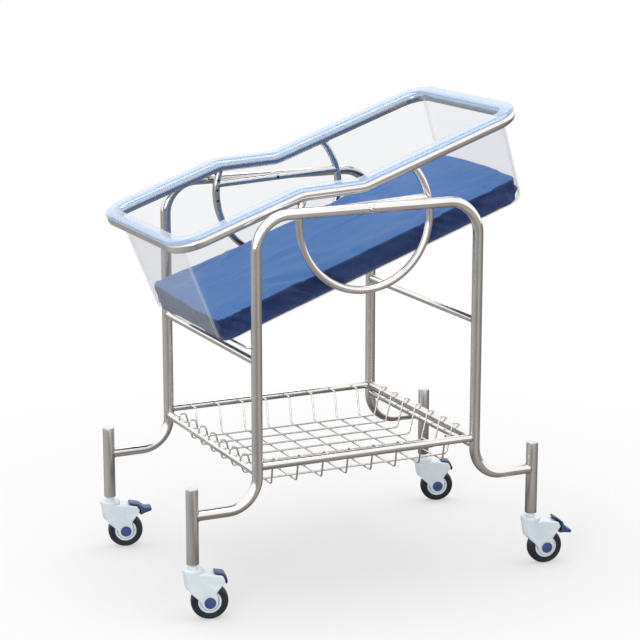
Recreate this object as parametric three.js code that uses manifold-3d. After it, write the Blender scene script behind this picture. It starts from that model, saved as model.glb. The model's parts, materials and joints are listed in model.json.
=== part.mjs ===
// Pediatric hospital crib: a clear tilting basin with a mattress, carried by a tubular steel
// trolley with a wire basket and four swivel casters. Millimetres, +Z up, X along the crib
// (foot end at -X, raised head end at +X), Y across it (near side at -Y), floor at Z = 0.
import * as THREE from "three";
import { mergeVertices } from "three/addons/utils/BufferGeometryUtils.js";
import Module from "manifold-3d";

const wasm = await Module();
wasm.setup();

// Driving dimensions of the trolley
const LEG_SPAN = 492;
const PIVOT_GAP = 10.5;
const POST_SPAN = 772;
const TOP_RAIL_Z = 796;
const STUB_Z = 212;
const LEG_RADIUS = 11;
const BAR_RADIUS = 8;
const TOP_BEND_RADIUS = 70;
const LOW_BEND_RADIUS = 64;
const FOOT_CROSSBAR_Z = 508;
const HEAD_CROSSBAR_Z = 545;
const REST_BAR_RADIUS = 2.5;
const REST_BAR_REACH = 20;
const REST_BAR_BEND_RADIUS = 8;

// Posts with their plugs
const POST_RADIUS = 12.5;
const POST_WALL = 1.5;
const POST_BOTTOM_Z = 113;
const POST_TOP_Z = 268;
const POST_SOCKET_DEPTH = 36;
const POST_WEB = 8;
const PLUG_LIP = 2.4;
const PLUG_DEPTH = 14;
const PLUG_EDGE = 0.8;

// Basket rails and wires
const SIDE_RAIL_Z = 296;
const FOOT_RAIL_Z = 282;
const HEAD_RAIL_GAP = 0.5;
const WIRE_RADIUS = 1.9;
const WIRE_WELD = 0.4;
const WIRE_BEND_RADIUS = 6;
const CROSS_WIRE_COUNT = 8;
const CROSS_WIRE_MARGIN = 14;
const LONG_WIRE_COUNT = 7;
const LONG_WIRE_MARGIN = 18;
const BASKET_FLOOR_Z = 241.5;
const FLOOR_END_INSET = 36;
const FLOOR_SIDE_INSET = 56.5;
const WALL_TOE = 10;
const SIDE_WALL_INSET = 34.5;
const SIDE_HOOK_RISE = 3;
const END_WALL_INSET = 10;
const FOOT_HOOK_RISE = 20;
const HEAD_HOOK_RISE = 12;
const HOOK_SEAT = 4;

// Cradle: the rim tube's centre line in the cradle's own frame, whose origin is the pivot
const TILT_AT_REST_DEG = 19.6;
const RIM_RADIUS = 12.5;
const RIM_LENGTH = 771;
const RIM_WIDTH = 426;
const RIM_CORNER_RADIUS = 50;
const RIM_FOOT_HEIGHT = 74.4;
const RIM_HEAD_HEIGHT = 36.3;
const RIM_STEP_LEAD = 6.6;
const RIM_STEP_END = 13;
const RIM_STEP_RADIUS = 70;

// Hoops, their chords and the pivot bolts
const HOOP_TUBE_RADIUS = 8;
const HOOP_RADIUS = 145;
const HOOP_CENTRE_X = -4.5;
const HOOP_CENTRE_DROP = 25.7;
const BOLT_RADIUS = 3.5;
const BOLT_HEAD_RADIUS = 6;
const BOLT_HEAD_HEIGHT = 4;
const NUT_RADIUS = 5.6;
const NUT_HEIGHT = 3.2;
const SPACER_RADIUS = 6.5;

// Tilt lock: a plunger on the far top rail drops into one of the holes of the far hoop
const LOCK_HOLES = 3;
const LOCK_PIN_RADIUS = 2.5;
const LOCK_TRAVEL = 11;
const LOCK_TIP_GAP = 0.6;
const LOCK_BARREL_RADIUS = 6;
const LOCK_BARREL_LENGTH = 4;
const LOCK_KNOB_RADIUS = 6;
const LOCK_KNOB_LENGTH = 8;
const LOCK_KNOB_EDGE = 1.5;

// Basin shell and its flange over the rim tube
const SHELL_WALL = 3;
const FLANGE_TOP = 4.5;
const FLANGE_LIP = 9;
const FLANGE_EDGE = 3;
const SHELL_DEPTH = 150;
const SHELL_TAPER = 9.5;
const SHELL_FOOT_RADIUS = 20;

// Mattress
const MATTRESS_END_INSET = 33.5;
const MATTRESS_SIDE_INSET = 32;
const MATTRESS_THICKNESS = 48;
const MATTRESS_CORNER_RADIUS = 34;
const MATTRESS_EDGE = 13;
const MATTRESS_CROWN = 6;
const MATTRESS_WAIST = 3;

// Casters, in their own frame: swivel axis at the origin, wheel trailing along +X, floor at 0
const WHEEL_RADIUS = 37.5;
const WHEEL_WIDTH = 23;
const WHEEL_EDGE = 4;
const HUB_RADIUS = 22.5;
const HUB_DISH = 3;
const HUB_BOSS_RADIUS = 9;
const TRAIL = 32;
const AXLE_RADIUS = 4;
const AXLE_CAP_RADIUS = 11.5;
const AXLE_CAP_HEIGHT = 2.4;
const FORK_WIDTH = 36;
const FORK_EDGE = 2.5;
const FORK_SLOT = 26;
const WHEEL_ARCH = 3;
const FORK_BOSS_RADIUS = 16;
const FORK_CAP_RADIUS = 21;
const FORK_CAP_HEIGHT = 9.5;
const FORK_CAP_EDGE = 3;
const FORK_TOP_Z = 95.5;
const FORK_CHIN_Z = 60;
const FORK_NOTCH_Z = 60;
const NOSE_X = 52;
const NOSE_Z = 77;
const NOSE_RADIUS = 12.5;
const NOSE_START_DEG = -40;
const BOSS_START_DEG = 145;
const BOSS_END_DEG = 385;
const TAIL_WALL = 4.5;
const TAIL_WIDTH = 25;
const COVER_START_DEG = -10;
const TONGUE_LENGTH = 12;
const PADDLE_LENGTH = 18;
const PADDLE_THICK = 9;
const PADDLE_START_DEG = -15;
const PADDLE_END_DEG = 40;
const PEDAL_PRESSED_DEG = 25;
const STEM_RADIUS = 5;
const STEM_SINK = 18;
const STEM_COLLAR_RADIUS = 8.5;
const STEM_CHAMFER = 1;
const CASTERS = [
  { name: "near_foot", end: -1, side: -1, yawDeg: -17, pedal: false, pressed: false },
  { name: "far_foot", end: -1, side: 1, yawDeg: -15, pedal: true, pressed: false },
  { name: "near_head", end: 1, side: -1, yawDeg: -10, pedal: true, pressed: true },
  { name: "far_head", end: 1, side: 1, yawDeg: -18, pedal: false, pressed: false },
];

// Clearances: between pieces that touch, and between pieces that turn or slide
const FIT = 0.3;
const RUNNING_FIT = 0.4;
const CUT_OVERRUN = 5;

// Facets
const TUBE_SIDES = 12;
const WIRE_SIDES = 5;
const BEND_STEPS = 5;
const WIRE_BEND_STEPS = 2;
const CORNER_STEPS = 4;
const HOOP_STEPS = 20;
const ROUND_SIDES = 14;
const PIN_SIDES = 12;
const NUT_SIDES = 6;
const PLUMB = new THREE.Vector3(0, 0, 1);

const radians = THREE.MathUtils.degToRad;
const legX = LEG_SPAN / 2;
const postX = POST_SPAN / 2;
const rimX = RIM_LENGTH / 2;
const rimY = RIM_WIDTH / 2;
const sideY = rimY + HOOP_TUBE_RADIUS + PIVOT_GAP + LEG_RADIUS;
const tilt = radians(TILT_AT_REST_DEG);
const hoopHalfWidthAt = (height) => Math.sqrt(HOOP_RADIUS ** 2 - (height + HOOP_CENTRE_DROP) ** 2);
const stepStart = HOOP_CENTRE_X - hoopHalfWidthAt(RIM_FOOT_HEIGHT) - RIM_STEP_LEAD;

// Materials
const paint = (color, roughness, metalness, extra = {}) =>
  new THREE.MeshStandardMaterial({ color, roughness, metalness, ...extra });
const steel = paint(0xb9b6b1, 0.28, 1);
const clearPlastic = paint(0xdde3ee, 0.08, 0, { transparent: true, opacity: 0.4 });
const mattressCover = paint(0x4f7ec4, 0.55, 0);
const whitePlastic = paint(0xd3e2f6, 0.35, 0);
const rubber = paint(0x1b1f28, 0.6, 0);
const slatePlastic = paint(0x3f5288, 0.4, 0);
const darkSlate = paint(0x263656, 0.4, 0);

// Solids for joins and cuts
function solidOf(geometry) {
  const bare = geometry.clone();
  bare.deleteAttribute("normal");
  bare.deleteAttribute("uv");
  const merged = mergeVertices(bare, 1e-4);
  return new wasm.Manifold(
    new wasm.Mesh({
      numProp: 3,
      vertProperties: merged.attributes.position.array,
      triVerts: new Uint32Array(merged.index.array),
    }),
  );
}

function geometryOf(solid) {
  const mesh = solid.getMesh();
  const geometry = new THREE.BufferGeometry();
  geometry.setAttribute("position", new THREE.BufferAttribute(mesh.vertProperties, 3));
  geometry.setIndex(new THREE.BufferAttribute(mesh.triVerts, 1));
  geometry.computeVertexNormals();
  return geometry;
}

function cut(geometry, tools) {
  return geometryOf(tools.reduce((body, tool) => body.subtract(solidOf(tool)), solidOf(geometry)));
}

function join(geometries) {
  return geometryOf(geometries.map(solidOf).reduce((body, next) => body.add(next)));
}

// A path given by its stations, each with a point and a tangent, so that a straight run
// takes one step and a bend as many as it needs
class StationPath extends THREE.Curve {
  constructor(stations) {
    super();
    this.stations = stations;
  }
  station(t) {
    return this.stations[Math.round(t * (this.stations.length - 1))];
  }
  getPoint(t, target = new THREE.Vector3()) {
    return target.copy(this.station(t).point);
  }
  getPointAt(t, target) {
    return this.getPoint(t, target);
  }
  getTangent(t, target = new THREE.Vector3()) {
    return target.copy(this.station(t).tangent);
  }
  getTangentAt(t, target) {
    return this.getTangent(t, target);
  }
}

// Stations of a tube bent round its corner points
function bentPath(corners, bendRadius, steps) {
  const stations = [];
  corners.forEach((corner, i) => {
    const before = corners[i - 1];
    const after = corners[i + 1];
    if (!before || !after) {
      const tangent = before ? corner.clone().sub(before) : after.clone().sub(corner);
      stations.push({ point: corner.clone(), tangent: tangent.normalize() });
      return;
    }
    const into = corner.clone().sub(before).normalize();
    const out = after.clone().sub(corner).normalize();
    const turn = into.angleTo(out);
    const start = corner.clone().addScaledVector(into, -bendRadius * Math.tan(turn / 2));
    const inward = out.clone().addScaledVector(into, -into.dot(out)).normalize();
    for (let k = 0; k <= steps; k++) {
      const angle = (turn * k) / steps;
      const point = start
        .clone()
        .addScaledVector(into, bendRadius * Math.sin(angle))
        .addScaledVector(inward, bendRadius * (1 - Math.cos(angle)));
      const tangent = into.clone().multiplyScalar(Math.cos(angle));
      stations.push({ point, tangent: tangent.addScaledVector(inward, Math.sin(angle)) });
    }
  });
  return new StationPath(stations);
}

function tube(path, radius, sides = TUBE_SIDES) {
  const section = new THREE.Shape().absarc(0, 0, radius, 0, 2 * Math.PI, false);
  return new THREE.ExtrudeGeometry(new THREE.Shape(section.getSpacedPoints(sides)), {
    extrudePath: path,
    steps: path.stations.length - 1,
  });
}

const vector = (x, y, z) => new THREE.Vector3(x, y, z);

function rod(from, to, radius, sides = TUBE_SIDES) {
  return tube(bentPath([from, to], 0, 0), radius, sides);
}

// A turned piece: outline points as [radius, height], turned about Z
function turned(outline, sides = ROUND_SIDES) {
  return new THREE.LatheGeometry(outline.map(([r, z]) => new THREE.Vector2(r, z)), sides).rotateX(
    Math.PI / 2,
  );
}

// The same, turned about Y
function turnedAcross(outline, sides = ROUND_SIDES) {
  return new THREE.LatheGeometry(outline.map(([r, y]) => new THREE.Vector2(r, y)), sides);
}

// A flat outline in X and Z, given thickness across Y and centred on it
function plate(shape, width, edge, curveSegments) {
  return new THREE.ExtrudeGeometry(shape, {
    depth: width - 2 * edge,
    bevelEnabled: edge > 0,
    bevelSize: edge,
    bevelOffset: -edge,
    bevelThickness: edge,
    bevelSegments: 1,
    curveSegments,
  })
    .translate(0, 0, edge - width / 2)
    .rotateX(Math.PI / 2);
}

// A closed skin over rows of points that all have the same number of stations. The rows
// close on each other, or the first and the last are capped by a flat fan.
function loft(rows, capped) {
  const stations = rows[0].length;
  const points = rows.flat();
  const faces = [];
  const pairs = capped ? rows.length - 1 : rows.length;
  for (let row = 0; row < pairs; row++) {
    const here = row * stations;
    const next = ((row + 1) % rows.length) * stations;
    for (let i = 0; i < stations; i++) {
      const j = (i + 1) % stations;
      faces.push(here + i, here + j, next + j, here + i, next + j, next + i);
    }
  }
  const cap = (first, turnedOver) => {
    const centre = new THREE.Vector3();
    for (let i = 0; i < stations; i++) centre.addScaledVector(points[first + i], 1 / stations);
    points.push(centre);
    for (let i = 0; i < stations; i++) {
      const pair = [first + i, first + ((i + 1) % stations)];
      if (turnedOver) pair.reverse();
      faces.push(points.length - 1, ...pair);
    }
  };
  if (capped) {
    cap(0, true);
    cap((rows.length - 1) * stations, false);
  }
  const geometry = new THREE.BufferGeometry().setFromPoints(points);
  geometry.setIndex(faces);
  geometry.computeVertexNormals();
  return geometry;
}

function mesh(name, geometry, material) {
  const made = new THREE.Mesh(geometry, material);
  made.name = name;
  return made;
}

// Trolley: two bent side frames, the crossbars between them and the rest bar
const legFootZ = STUB_Z + LOW_BEND_RADIUS - BAR_RADIUS;
const legTool = (x, y, radius) =>
  rod(vector(x, y, legFootZ), vector(x, y, TOP_RAIL_Z - TOP_BEND_RADIUS), radius);
const legTools = [-1, 1].flatMap((end) =>
  [-1, 1].map((side) => legTool(end * legX, side * sideY, LEG_RADIUS + FIT)),
);
const boltDrill = (x, side, radius) =>
  rod(
    vector(x, side * (rimY - HOOP_TUBE_RADIUS - CUT_OVERRUN), TOP_RAIL_Z),
    vector(x, side * (sideY + LEG_RADIUS + CUT_OVERRUN), TOP_RAIL_Z),
    radius,
    PIN_SIDES,
  );

function sideFrame(side, drills) {
  const y = side * sideY;
  const corners = [
    vector(-postX, y, STUB_Z),
    vector(-legX, y, STUB_Z),
    vector(-legX, y, TOP_RAIL_Z),
    vector(legX, y, TOP_RAIL_Z),
    vector(legX, y, STUB_Z),
    vector(postX, y, STUB_Z),
  ];
  const low = bentPath(corners.slice(0, 3), LOW_BEND_RADIUS, BEND_STEPS).stations.slice(0, -1);
  const top = bentPath(corners.slice(1, 5), TOP_BEND_RADIUS, BEND_STEPS).stations.slice(1, -1);
  const last = bentPath(corners.slice(3, 6), LOW_BEND_RADIUS, BEND_STEPS).stations.slice(1);
  const pipe = tube(new StationPath([...low, ...top, ...last]), LEG_RADIUS);
  const posts = [-postX, postX].map((x) =>
    rod(vector(x, y, POST_BOTTOM_Z), vector(x, y, POST_TOP_Z), POST_RADIUS + FIT, TUBE_SIDES * 2),
  );
  return cut(pipe, [...posts, ...drills]);
}

function crossbar(x, z) {
  return cut(rod(vector(x, -sideY, z), vector(x, sideY, z), BAR_RADIUS), legTools);
}

// Level of the basin's underside over a place on the trolley, with the cradle at rest
const undersideZ = (x) => TOP_RAIL_Z + x * Math.tan(tilt) - SHELL_DEPTH / Math.cos(tilt);

function restBar() {
  const x = -legX - REST_BAR_REACH;
  const z = undersideZ(x) - (REST_BAR_RADIUS + FIT) / Math.cos(tilt);
  const path = bentPath(
    [vector(-legX, -sideY, z), vector(x, -sideY, z), vector(x, sideY, z), vector(-legX, sideY, z)],
    REST_BAR_BEND_RADIUS,
    WIRE_BEND_STEPS,
  );
  return cut(tube(path, REST_BAR_RADIUS, PIN_SIDES / 2), legTools);
}

function post() {
  return turned([
    [0, POST_BOTTOM_Z + POST_SOCKET_DEPTH],
    [STEM_RADIUS + FIT, POST_BOTTOM_Z + POST_SOCKET_DEPTH],
    [STEM_RADIUS + FIT, POST_BOTTOM_Z],
    [POST_RADIUS, POST_BOTTOM_Z],
    [POST_RADIUS, POST_TOP_Z],
    [POST_RADIUS - POST_WALL, POST_TOP_Z],
    [POST_RADIUS - POST_WALL, POST_BOTTOM_Z + POST_SOCKET_DEPTH + POST_WEB],
    [0, POST_BOTTOM_Z + POST_SOCKET_DEPTH + POST_WEB],
  ]);
}

function postPlug() {
  const bottom = POST_TOP_Z + FIT;
  return turned([
    [0, bottom - PLUG_DEPTH],
    [POST_RADIUS - POST_WALL - FIT, bottom - PLUG_DEPTH],
    [POST_RADIUS - POST_WALL - FIT, bottom],
    [POST_RADIUS, bottom],
    [POST_RADIUS, bottom + PLUG_LIP - PLUG_EDGE],
    [POST_RADIUS - PLUG_EDGE, bottom + PLUG_LIP],
    [0, bottom + PLUG_LIP],
  ]);
}

// Wire basket: each wall's wires are welded to their rail, and the floor grid lies between
const floorX = legX - FLOOR_END_INSET;
const floorY = sideY - FLOOR_SIDE_INSET;
const longWireZ = BASKET_FLOOR_Z + 2 * WIRE_RADIUS - WIRE_WELD;
const wirePlaces = (count, reach) =>
  Array.from({ length: count }, (_, i) => reach * ((2 * i) / (count - 1) - 1));
const crossPlaces = wirePlaces(CROSS_WIRE_COUNT, floorX - CROSS_WIRE_MARGIN);
const longPlaces = wirePlaces(LONG_WIRE_COUNT, floorY - LONG_WIRE_MARGIN);
const wire = (corners) =>
  tube(bentPath(corners, WIRE_BEND_RADIUS, WIRE_BEND_STEPS), WIRE_RADIUS, WIRE_SIDES);

function basketFloor() {
  const across = crossPlaces.map((x) =>
    wire([vector(x, -floorY, BASKET_FLOOR_Z), vector(x, floorY, BASKET_FLOOR_Z)]),
  );
  const along = longPlaces.map((y) =>
    wire([vector(-floorX, y, longWireZ), vector(floorX, y, longWireZ)]),
  );
  return join([...across, ...along]);
}

function sideRail(side) {
  const y = side * sideY;
  const ends = [
    [-legX, FOOT_RAIL_Z],
    [legX, SIDE_RAIL_Z],
  ];
  const endTools = ends.map(([x, z]) =>
    rod(vector(x, -sideY, z), vector(x, sideY, z), BAR_RADIUS + FIT),
  );
  const straight = rod(vector(-legX, y, SIDE_RAIL_Z), vector(legX, y, SIDE_RAIL_Z), BAR_RADIUS);
  const bar = cut(straight, [...legTools, ...endTools]);
  const top = SIDE_RAIL_Z + SIDE_HOOK_RISE;
  const toe = floorY + FIT;
  const wires = crossPlaces.map((x) =>
    wire([
      vector(x, y, top),
      vector(x, side * (sideY - SIDE_WALL_INSET), top),
      vector(x, side * (toe + WALL_TOE), BASKET_FLOOR_Z),
      vector(x, side * toe, BASKET_FLOOR_Z),
    ]),
  );
  return join([bar, ...wires]);
}

function endRail(end, z, hookRise) {
  const x = end * legX;
  const top = z + hookRise;
  const toe = floorX + FIT;
  const wires = longPlaces.map((y) =>
    wire([
      vector(x + end * HOOK_SEAT, y, z),
      vector(x + end * HOOK_SEAT, y, top),
      vector(end * (legX - END_WALL_INSET), y, top),
      vector(end * (toe + WALL_TOE), y, longWireZ),
      vector(end * toe, y, longWireZ),
    ]),
  );
  return join([crossbar(x, z), ...wires]);
}

// The rim's centre line in the cradle's frame: a rounded rectangle seen from above, with a
// step in both long sides. Each station has its outward and upward directions.
function rimStations() {
  const corners = [
    vector(-rimX, 0, RIM_FOOT_HEIGHT),
    vector(stepStart, 0, RIM_FOOT_HEIGHT),
    vector(RIM_STEP_END, 0, RIM_HEAD_HEIGHT),
    vector(rimX, 0, RIM_HEAD_HEIGHT),
  ];
  const step = bentPath(corners, RIM_STEP_RADIUS, WIRE_BEND_STEPS).stations.slice(1, -1);
  const side = (sign) => {
    const run = step.map(({ point, tangent }) => ({
      point: point.clone().setY(sign * rimY),
      out: vector(0, sign, 0),
      up: vector(-tangent.z, 0, tangent.x),
    }));
    return sign < 0 ? run : run.reverse();
  };
  const corner = (endSign, sideSign, height, startDeg) =>
    Array.from({ length: CORNER_STEPS + 1 }, (_, k) => {
      const angle = radians(startDeg) + ((Math.PI / 2) * k) / CORNER_STEPS;
      const out = vector(Math.cos(angle), Math.sin(angle), 0);
      const centreX = endSign * (rimX - RIM_CORNER_RADIUS);
      const centreY = sideSign * (rimY - RIM_CORNER_RADIUS);
      const point = vector(centreX, centreY, height).addScaledVector(out, RIM_CORNER_RADIUS);
      return { point, out, up: PLUMB.clone() };
    });
  return [
    ...side(-1),
    ...corner(1, -1, RIM_HEAD_HEIGHT, -90),
    ...corner(1, 1, RIM_HEAD_HEIGHT, 0),
    ...side(1),
    ...corner(-1, 1, RIM_FOOT_HEIGHT, 90),
    ...corner(-1, -1, RIM_FOOT_HEIGHT, 180),
  ];
}

const stations = rimStations();
const ringAt = (out, up) =>
  stations.map((s) => s.point.clone().addScaledVector(s.out, out).addScaledVector(s.up, up));

const tubeAngles = Array.from({ length: TUBE_SIDES }, (_, k) => (2 * Math.PI * k) / TUBE_SIDES);

function rimTube(growth = 0) {
  const radius = RIM_RADIUS + growth;
  const rows = tubeAngles.map((angle) => ringAt(radius * Math.cos(angle), radius * Math.sin(angle)));
  return loft(rows, false);
}

// Basin: a thin tub whose flange folds over the rim tube and ends in a short lip
const wallOut = -RIM_RADIUS - RUNNING_FIT;
const wallIn = wallOut - SHELL_WALL;
const flangeTop = RIM_RADIUS + FLANGE_TOP;
const saddle = RIM_RADIUS + RUNNING_FIT;

// A level ring at a height of the cradle's frame, set in from the rim's centre line
const levelRing = (out, height) => ringAt(out, 0).map((p) => p.setZ(height));

function basinShell() {
  const lipBottom = flangeTop - FLANGE_LIP;
  const lipAngle = Math.asin(lipBottom / saddle);
  const overTube = tubeAngles.filter((angle) => angle > lipAngle && angle <= Math.PI);
  const saddleRows = [lipAngle, ...overTube].map((angle) =>
    ringAt(saddle * Math.cos(angle), saddle * Math.sin(angle)),
  );
  const bottom = -SHELL_DEPTH;
  const foot = SHELL_FOOT_RADIUS;
  const inner = foot - SHELL_WALL;
  const bend = 1 - Math.SQRT1_2;
  const low = wallOut - SHELL_TAPER;
  const rows = [
    levelRing(low - foot, bottom + SHELL_WALL),
    levelRing(low - SHELL_WALL - inner * bend, bottom + SHELL_WALL + inner * bend),
    levelRing(low - SHELL_WALL, bottom + foot),
    ringAt(wallIn, flangeTop - FLANGE_EDGE),
    ringAt(wallIn + FLANGE_EDGE * bend, flangeTop - FLANGE_EDGE * bend),
    ringAt(wallIn + FLANGE_EDGE, flangeTop),
    ringAt(RIM_RADIUS - FLANGE_EDGE, flangeTop),
    ringAt(RIM_RADIUS - FLANGE_EDGE * bend, flangeTop - FLANGE_EDGE * bend),
    ringAt(RIM_RADIUS, flangeTop - FLANGE_EDGE),
    ringAt(RIM_RADIUS, lipBottom),
    ...saddleRows,
    levelRing(low, bottom + foot),
    levelRing(low - foot * bend, bottom + foot * bend),
    levelRing(low - foot, bottom),
  ];
  return loft(rows.reverse(), true);
}

// Mattress: a crowned pad with rounded edges, drawn in a little at mid height
function mattress() {
  const bottom = -SHELL_DEPTH + SHELL_WALL + FIT;
  const halfLength = rimX - MATTRESS_END_INSET;
  const halfWidth = rimY - MATTRESS_SIDE_INSET;
  const corners = [
    [1, -1, -90],
    [1, 1, 0],
    [-1, 1, 90],
    [-1, -1, 180],
  ];
  const ring = (inset, height) => {
    const radius = Math.max(MATTRESS_CORNER_RADIUS - inset, FIT);
    const points = [];
    for (const [endSign, sideSign, startDeg] of corners) {
      for (let k = 0; k <= CORNER_STEPS; k++) {
        const angle = radians(startDeg) + ((Math.PI / 2) * k) / CORNER_STEPS;
        const x = endSign * (halfLength - inset - radius) + radius * Math.cos(angle);
        const y = sideSign * (halfWidth - inset - radius) + radius * Math.sin(angle);
        points.push(vector(x, y, height));
      }
    }
    return points;
  };
  const bend = 1 - Math.SQRT1_2;
  const top = bottom + MATTRESS_THICKNESS;
  const crownShares = [0.3, 0.6, 0.85];
  const edge = MATTRESS_EDGE;
  const rise = (share) => Math.sin((share * Math.PI) / 2) * MATTRESS_CROWN;
  return loft(
    [
      ring(edge, bottom),
      ring(edge * bend, bottom + edge * bend),
      ring(0, bottom + edge),
      ring(MATTRESS_WAIST, bottom + MATTRESS_THICKNESS / 2),
      ring(0, top - edge),
      ring(edge * bend, top - edge * bend),
      ring(edge, top),
      ...crownShares.map((share) => ring(edge + (halfWidth - edge) * share, top + rise(share))),
    ],
    true,
  );
}

// Hoops: each is a round bend below the rim, crossed by a chord that carries the pivot
const hoopPoint = (angle) =>
  vector(
    HOOP_CENTRE_X + HOOP_RADIUS * Math.cos(angle),
    0,
    HOOP_RADIUS * Math.sin(angle) - HOOP_CENTRE_DROP,
  );
// Distance from the pivot to the hoop's centre line in a given direction
const hoopCentre = vector(HOOP_CENTRE_X, 0, -HOOP_CENTRE_DROP);
const pivotReach = (direction) => {
  const along = hoopCentre.dot(direction);
  return along + Math.sqrt(along * along + HOOP_RADIUS * HOOP_RADIUS - hoopCentre.lengthSq());
};
// Angle on the hoop at which its tube ends inside the rim tube's level
const hoopEndAngle = (height) => Math.asin((height + HOOP_CENTRE_DROP) / HOOP_RADIUS);

function hoopTube(side, radius) {
  const start = Math.PI - hoopEndAngle(RIM_FOOT_HEIGHT);
  const end = 2 * Math.PI + hoopEndAngle(RIM_HEAD_HEIGHT);
  const path = new StationPath(
    Array.from({ length: HOOP_STEPS + 1 }, (_, k) => {
      const angle = start + ((end - start) * k) / HOOP_STEPS;
      const point = hoopPoint(angle).setY(side * rimY);
      return { point, tangent: vector(-Math.sin(angle), 0, Math.cos(angle)) };
    }),
  );
  return tube(path, radius);
}

const hoop = (side, drills) => cut(hoopTube(side, HOOP_TUBE_RADIUS), [rimTube(FIT), ...drills]);

// The chord runs beside the step of the rim, through the pivot, from one side of the hoop
// to the other
const chordSlope = Math.atan2(RIM_HEAD_HEIGHT - RIM_FOOT_HEIGHT, RIM_STEP_END - stepStart);
const chordDirection = vector(Math.cos(chordSlope), 0, Math.sin(chordSlope));

function chord(side) {
  const against = chordDirection.clone().negate();
  const from = against.clone().multiplyScalar(pivotReach(against)).setY(side * rimY);
  const to = chordDirection.clone().multiplyScalar(pivotReach(chordDirection)).setY(side * rimY);
  const drill = rod(
    vector(0, side * (rimY - HOOP_TUBE_RADIUS - CUT_OVERRUN), 0),
    vector(0, side * (rimY + HOOP_TUBE_RADIUS + CUT_OVERRUN), 0),
    BOLT_RADIUS + FIT,
    PIN_SIDES,
  );
  return cut(rod(from, to, HOOP_TUBE_RADIUS), [hoopTube(side, HOOP_TUBE_RADIUS + FIT), drill]);
}

// Lock holes: where the fixed plunger meets the far hoop at equal steps of the tilt
const lockAngles = Array.from({ length: LOCK_HOLES }, (_, k) =>
  Math.PI - tilt + (tilt * k) / (LOCK_HOLES - 1),
);
const lockDirection = (angle) => vector(Math.cos(angle), 0, Math.sin(angle));
const lockRadius = pivotReach(lockDirection(Math.PI - tilt / 2));
const lockX = -lockRadius;
function lockDrills() {
  return lockAngles.map((angle) => {
    const { x, z } = lockDirection(angle).multiplyScalar(lockRadius);
    return rod(
      vector(x, rimY - HOOP_TUBE_RADIUS - CUT_OVERRUN, z),
      vector(x, rimY + HOOP_TUBE_RADIUS + CUT_OVERRUN, z),
      LOCK_PIN_RADIUS + RUNNING_FIT,
      PIN_SIDES,
    );
  });
}

function lockBarrel() {
  const seat = sideY + LEG_RADIUS + FIT;
  return turnedAcross([
    [LOCK_PIN_RADIUS + FIT, seat],
    [LOCK_BARREL_RADIUS, seat],
    [LOCK_BARREL_RADIUS, seat + LOCK_BARREL_LENGTH],
    [LOCK_PIN_RADIUS + FIT, seat + LOCK_BARREL_LENGTH],
    [LOCK_PIN_RADIUS + FIT, seat],
  ], PIN_SIDES);
}

function lockPin() {
  const tip = rimY + HOOP_TUBE_RADIUS + LOCK_TIP_GAP;
  const knob = sideY + LEG_RADIUS + LOCK_BARREL_LENGTH + 2 * FIT + LOCK_TRAVEL;
  return turnedAcross([
    [0, tip],
    [LOCK_PIN_RADIUS - LOCK_TIP_GAP, tip],
    [LOCK_PIN_RADIUS, tip + LOCK_TIP_GAP],
    [LOCK_PIN_RADIUS, knob],
    [LOCK_KNOB_RADIUS - LOCK_KNOB_EDGE, knob],
    [LOCK_KNOB_RADIUS, knob + LOCK_KNOB_EDGE],
    [LOCK_KNOB_RADIUS, knob + LOCK_KNOB_LENGTH - LOCK_KNOB_EDGE],
    [LOCK_KNOB_RADIUS - LOCK_KNOB_EDGE, knob + LOCK_KNOB_LENGTH],
    [0, knob + LOCK_KNOB_LENGTH],
  ], PIN_SIDES);
}

// Pivot hardware, drawn for the far side and turned round for the near one
const railOuter = sideY + LEG_RADIUS;
const railInner = sideY - LEG_RADIUS;
const hoopOuter = rimY + HOOP_TUBE_RADIUS;
const hoopInner = rimY - HOOP_TUBE_RADIUS;

function pivotBolt() {
  const seat = railOuter + FIT;
  return turnedAcross([
    [0, hoopInner - FIT - NUT_HEIGHT],
    [BOLT_RADIUS, hoopInner - FIT - NUT_HEIGHT],
    [BOLT_RADIUS, seat],
    [BOLT_HEAD_RADIUS, seat],
    [BOLT_HEAD_RADIUS, seat + BOLT_HEAD_HEIGHT / 2],
    [BOLT_HEAD_RADIUS / 2, seat + BOLT_HEAD_HEIGHT],
    [0, seat + BOLT_HEAD_HEIGHT],
  ], PIN_SIDES);
}

function pivotSpacer() {
  return turnedAcross([
    [BOLT_RADIUS + FIT, hoopOuter + FIT],
    [SPACER_RADIUS, hoopOuter + FIT],
    [SPACER_RADIUS, railInner - FIT],
    [BOLT_RADIUS + FIT, railInner - FIT],
    [BOLT_RADIUS + FIT, hoopOuter + FIT],
  ], PIN_SIDES);
}

function pivotNut() {
  const seat = hoopInner - FIT;
  const hexagon = turnedAcross([
    [0, seat - NUT_HEIGHT],
    [NUT_RADIUS, seat - NUT_HEIGHT],
    [NUT_RADIUS, seat],
    [0, seat],
  ], NUT_SIDES);
  const from = vector(0, seat - 2 * NUT_HEIGHT, 0);
  const bore = rod(from, vector(0, hoopOuter, 0), BOLT_RADIUS + FIT, PIN_SIDES);
  return cut(hexagon, [bore]);
}

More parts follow.
